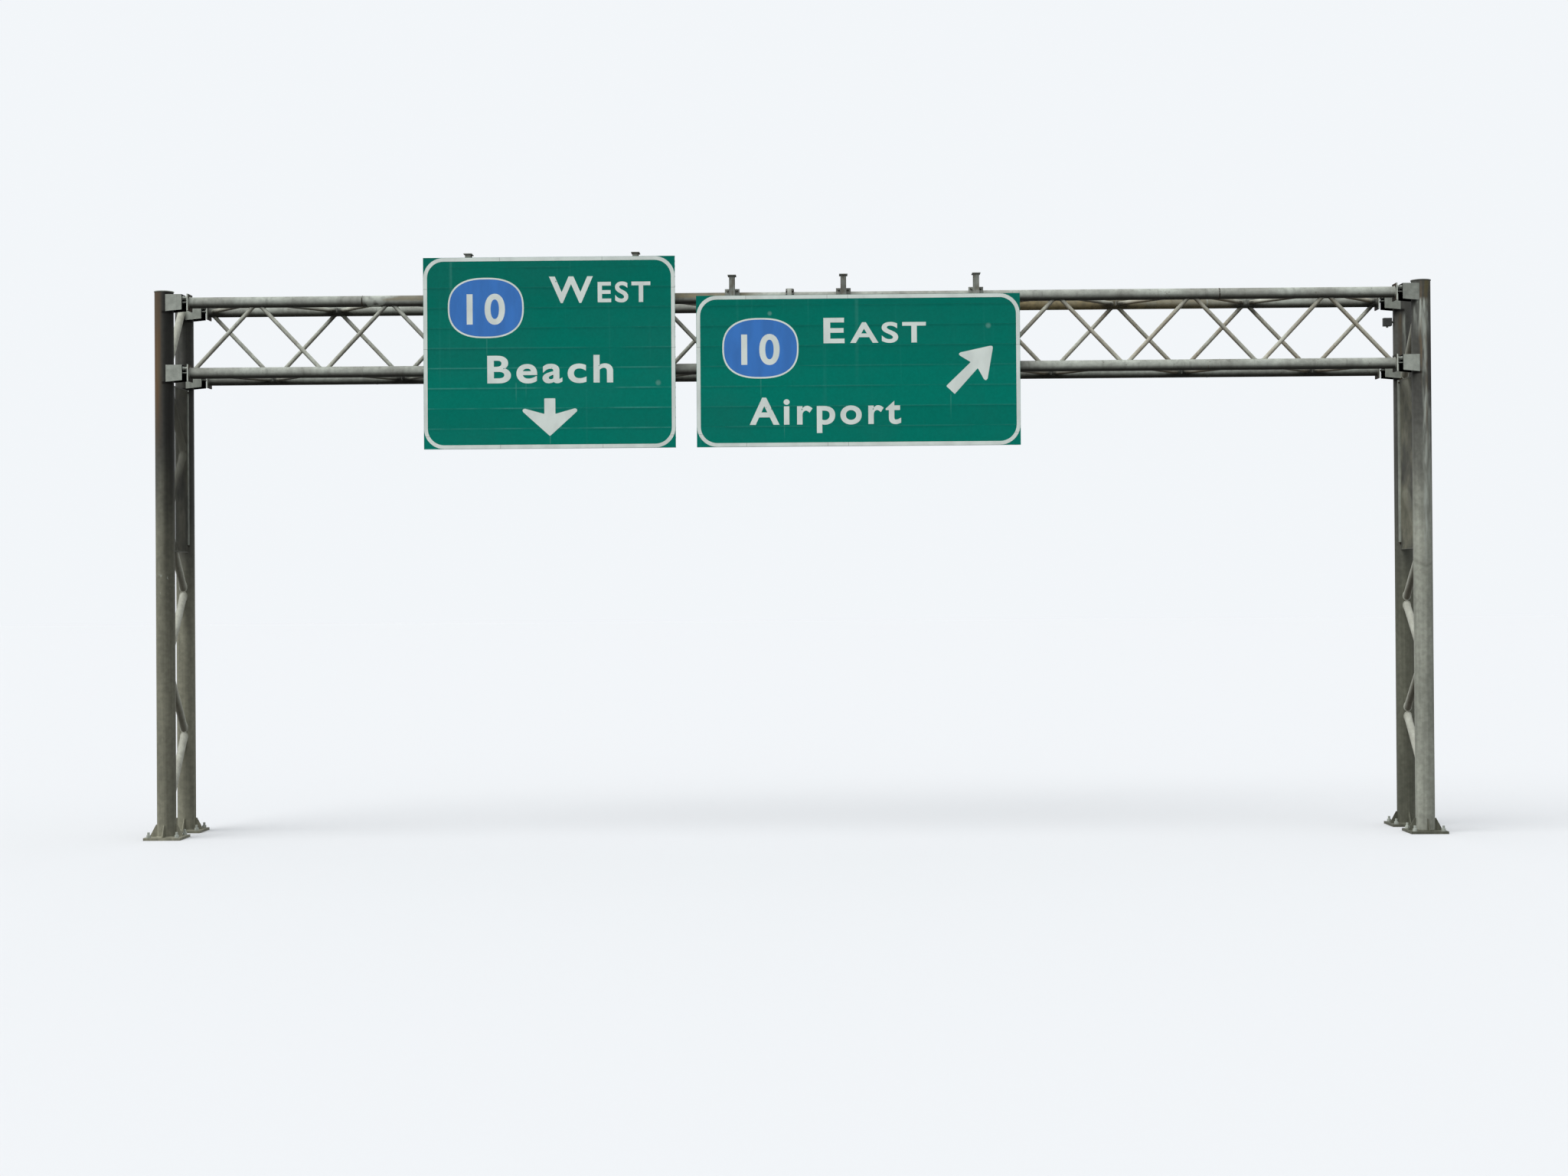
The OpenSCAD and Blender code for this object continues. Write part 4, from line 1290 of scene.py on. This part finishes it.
class GANTRY_OT_hangers(bpy.types.Operator):
    """Hangers and clamps with the nuts of their U-bolts and panel clips"""
    bl_idname = "gantry.hangers"
    bl_label = "Hangers and clamps"

    def execute(self, context):
        truss = context.scene.gantry_truss
        panel = context.scene.gantry_sign.panel
        radius, rod, hanger_t, angle_t, set_out = truss.chord / 2, 0.016, 0.009, 0.0095, 0.072
        face = FRONT - radius - hanger_t - angle_t
        lock = fastener(0.027, 0.016, rod, 0.0, 0.003)
        near, far, half_h, out, sunk = 0.036, 0.075, 0.02, 0.011, 0.001
        for side in ("left", "right"):
            coat([f"{side}_sign_hangers"], "hanger steel")
            coat([f"{side}_sign_clamps"], "clamp steel")
            low, high = corners(f"{side}_sign")
            back = high[1]
            spots, clips = [], []
            for x in self.beams(f"{side}_sign_hangers"):
                for (first, z), j in itertools.product(((0, BOTTOM), (1, TOP)), (-1, 1)):
                    if self.clear(truss, x + j * set_out, first, rod):
                        spots += [(x + j * set_out, face, z + k * (radius + rod / 2)) for k in (-1, 1)]
                z = low[2] + panel
                while z < high[2] - 0.05:
                    for j in (-1, 1):
                        clips.append(slab((x + j * near, back - sunk, z - half_h),
                                          (x + j * far, back + out, z + half_h)))
                    z += panel
            make(f"{side}_clamp_nuts", [copies(lock, spots, (0, -1, 0))], "dark steel")
            make(f"{side}_panel_clips", clips, "bright steel", bevel=0.002)
        return {"FINISHED"}

    def beams(self, node):
        """Middle of each hanger, from the gaps between the X places of the node's points."""
        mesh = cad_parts[node].data
        points = np.empty(len(mesh.vertices) * 3)
        mesh.vertices.foreach_get("co", points)
        x = np.unique(np.round(points[0::3], 4))
        groups = np.split(x, np.where(np.diff(x) > 0.3)[0] + 1)
        return [(group.min() + group.max()) / 2 for group in groups]

    def clear(self, truss, x, first, rod):
        """True where a U-bolt clears the bars at the nodes of one chord, every other one from the first.

        A bar that leans by s along the chord takes up (r + rod) s + d / 2 sqrt(1 + s s) + rod / 2 of it.
        """
        places = node_places(truss)
        lean = (places[:-1] - places[1:]) / (TOP - BOTTOM)
        reach = (truss.chord / 2 + rod) * lean + truss.tube / 2 * np.sqrt(1 + lean ** 2) + rod / 2
        for k in range(first, truss.bays + 1, 2):
            gap = abs(x) - places[k]
            if (k > 0 and 0 <= gap < reach[k - 1]) or (k < truss.bays and 0 < -gap < reach[k]):
                return False
        return True


class GANTRY_OT_detector(bpy.types.Operator):
    """Detector housing with its lid, visor and screws"""
    bl_idname = "gantry.detector"
    bl_label = "Detector"

    def execute(self, context):
        low, high = corners("detector_box")
        eye, lid, rim = 0.022, 0.012, 0.004
        blocks = [slab(low + [rim, lid, eye], high - [rim, 0.0, 0.006]),
                  slab(low + [0.0, 0.0, eye + rim], (high[0], low[1] + lid, high[2] - 0.002)),
                  slab((low[0], low[1] + 0.002, high[2] - 0.007), high)]
        make("detector_housing", blocks, "detector paint", ["detector_box"], bevel=0.003)
        centre = (low + high) / 2
        lens = turned([(0.013, 0), (0.018, 0.003), (0.018, eye), (0.016, eye + rim)], 28)
        screw = turned([(0.005, 0), (0.005, 0.002), (0.003, 0.0025)], 12)
        screws = [(x, low[1] + 0.0025, z) for x in (low[0] + 0.012, high[0] - 0.012)
                  for z in (low[2] + eye + 0.016, high[2] - 0.014)]
        trim = [copies(lens, (centre[0], centre[1], low[2]), (0, 0, 1)), copies(screw, screws, (0, -1, 0))]
        make("detector_lens_and_screws", trim, "dull steel")
        coat(["detector_stub"], "dull steel")
        return {"FINISHED"}


class GANTRY_OT_stage(bpy.types.Operator):
    """Floor, lamps, world and camera"""
    bl_idname = "gantry.stage"
    bl_label = "Stage"

    def execute(self, context):
        scene = context.scene
        scene.view_settings.view_transform = "Standard"
        self.floor()
        self.world(scene)
        sun = bpy.data.lights.new("soft_sun", "SUN")
        sun.energy = 1.75
        sun.angle = math.radians(50)
        lamp = bpy.data.objects.new("soft_sun", sun)
        lamp.rotation_euler = Vector((0.6, 0.45, -0.92)).to_track_quat("-Z", "Y").to_euler()
        scene.collection.objects.link(lamp)
        self.camera(scene)
        return {"FINISHED"}

    def two_ways(self, tree, kind, lighting, seen, socket):
        """Feeds a socket one value for the light on the object and another for what the picture shows.

        Camera, glossy and transmission rays get the second one.
        """
        path = tree.nodes.new("ShaderNodeLightPath")
        value = path.outputs["Is Camera Ray"]
        for name in ("Is Glossy Ray", "Is Transmission Ray"):
            made = tree.nodes.new("ShaderNodeMath")
            made.operation = "MAXIMUM"
            tree.links.new(value, made.inputs[0])
            tree.links.new(path.outputs[name], made.inputs[1])
            value = made.outputs[0]
        blend = tree.nodes.new("ShaderNodeMix")
        blend.data_type = kind
        first, output = {"FLOAT": (2, 0), "RGBA": (6, 2)}[kind]
        tree.links.new(value, blend.inputs[0])
        blend.inputs[first].default_value = lighting
        blend.inputs[first + 1].default_value = seen
        tree.links.new(blend.outputs[output], socket)

    def floor(self):
        """Large pale floor; light that bounces from it to the object is dimmed, as from a road."""
        reach = 400.0
        mesh = bpy.data.meshes.new("stage_floor")
        square = [(-reach, -reach, 0), (reach, -reach, 0), (reach, reach, 0), (-reach, reach, 0)]
        mesh.from_pydata(square, [], [(0, 1, 2, 3)])
        plane = bpy.data.objects.new("stage_floor", mesh)
        bpy.context.collection.objects.link(plane)
        material = bpy.data.materials.new("stage floor")
        material.use_nodes = True
        shader = material.node_tree.nodes["Principled BSDF"]
        shader.inputs["Roughness"].default_value = 0.9
        shader.inputs["Specular IOR Level"].default_value = 0.1
        self.two_ways(material.node_tree, "RGBA", (0.035, 0.035, 0.032, 1), (0.70, 0.706, 0.713, 1),
                      shader.inputs["Base Color"])
        mesh.materials.append(material)

    def world(self, scene):
        """Plain sky light, with a backdrop of its own brightness."""
        world = bpy.data.worlds.new("stage world")
        scene.world = world
        world.use_nodes = True
        sky = world.node_tree.nodes["Background"]
        sky.inputs[0].default_value = (0.94, 0.97, 1.0, 1)
        self.two_ways(world.node_tree, "FLOAT", 0.9, 0.95, sky.inputs[1])

    def camera(self, scene):
        """Camera at the photograph's place: yaw, pitch and roll about Z, X and Y."""
        yaw, pitch, roll = 0.0157, 0.0064, 0.0069
        turn = Matrix.Rotation(yaw, 3, "Z") @ Matrix.Rotation(pitch, 3, "X") @ Matrix.Rotation(roll, 3, "Y")
        right, ahead, up = turn.col[0], turn.col[1], turn.col[2]
        lens = bpy.data.cameras.new("camera")
        lens.lens = 50.512
        lens.sensor_width = 36.0
        lens.clip_end = 2000.0
        camera = bpy.data.objects.new("camera", lens)
        matrix = Matrix((right, up, -ahead)).transposed().to_4x4()
        matrix.translation = Vector((0.410, -33.959, 3.546))
        camera.matrix_world = matrix
        scene.collection.objects.link(camera)
        scene.camera = camera


class GANTRY_PT_panel(bpy.types.Panel):
    """Lists the gantry's pieces in the sidebar"""
    bl_idname = "GANTRY_PT_panel"
    bl_label = "Gantry"
    bl_space_type = "VIEW_3D"
    bl_region_type = "UI"
    bl_category = "Gantry"

    def draw(self, context):
        for each in OPERATORS:
            self.layout.operator(each.bl_idname)


GROUPS = {
    "gantry_truss": GANTRY_PG_truss,
    "gantry_tower": GANTRY_PG_tower,
    "gantry_screen": GANTRY_PG_screen,
    "gantry_sign": GANTRY_PG_sign,
    "gantry_finish": GANTRY_PG_finish,
}
OPERATORS = (GANTRY_OT_stage, GANTRY_OT_towers, GANTRY_OT_lacing, GANTRY_OT_screens, GANTRY_OT_chords,
             GANTRY_OT_tubes, GANTRY_OT_seats, GANTRY_OT_signs, GANTRY_OT_legends, GANTRY_OT_hangers,
             GANTRY_OT_detector)


def register():
    """Registers the classes and puts the property groups on the scene."""
    for each in (*GROUPS.values(), *OPERATORS, GANTRY_PT_panel):
        bpy.utils.register_class(each)
    for name, group in GROUPS.items():
        setattr(bpy.types.Scene, name, PointerProperty(type=group))


def unregister():
    """Takes the property groups and classes off again."""
    for name in GROUPS:
        delattr(bpy.types.Scene, name)
    for each in (GANTRY_PT_panel, *OPERATORS, *GROUPS.values()):
        bpy.utils.unregister_class(each)


def main():
    """Makes every piece in order."""
    register()
    bpy.ops.gantry.stage()
    bpy.ops.gantry.towers()
    bpy.ops.gantry.lacing()
    bpy.ops.gantry.screens()
    bpy.ops.gantry.chords()
    bpy.ops.gantry.tubes()
    bpy.ops.gantry.seats()
    bpy.ops.gantry.signs()
    bpy.ops.gantry.legends()
    bpy.ops.gantry.hangers()
    bpy.ops.gantry.detector()


if __name__ == "__main__":
    main()
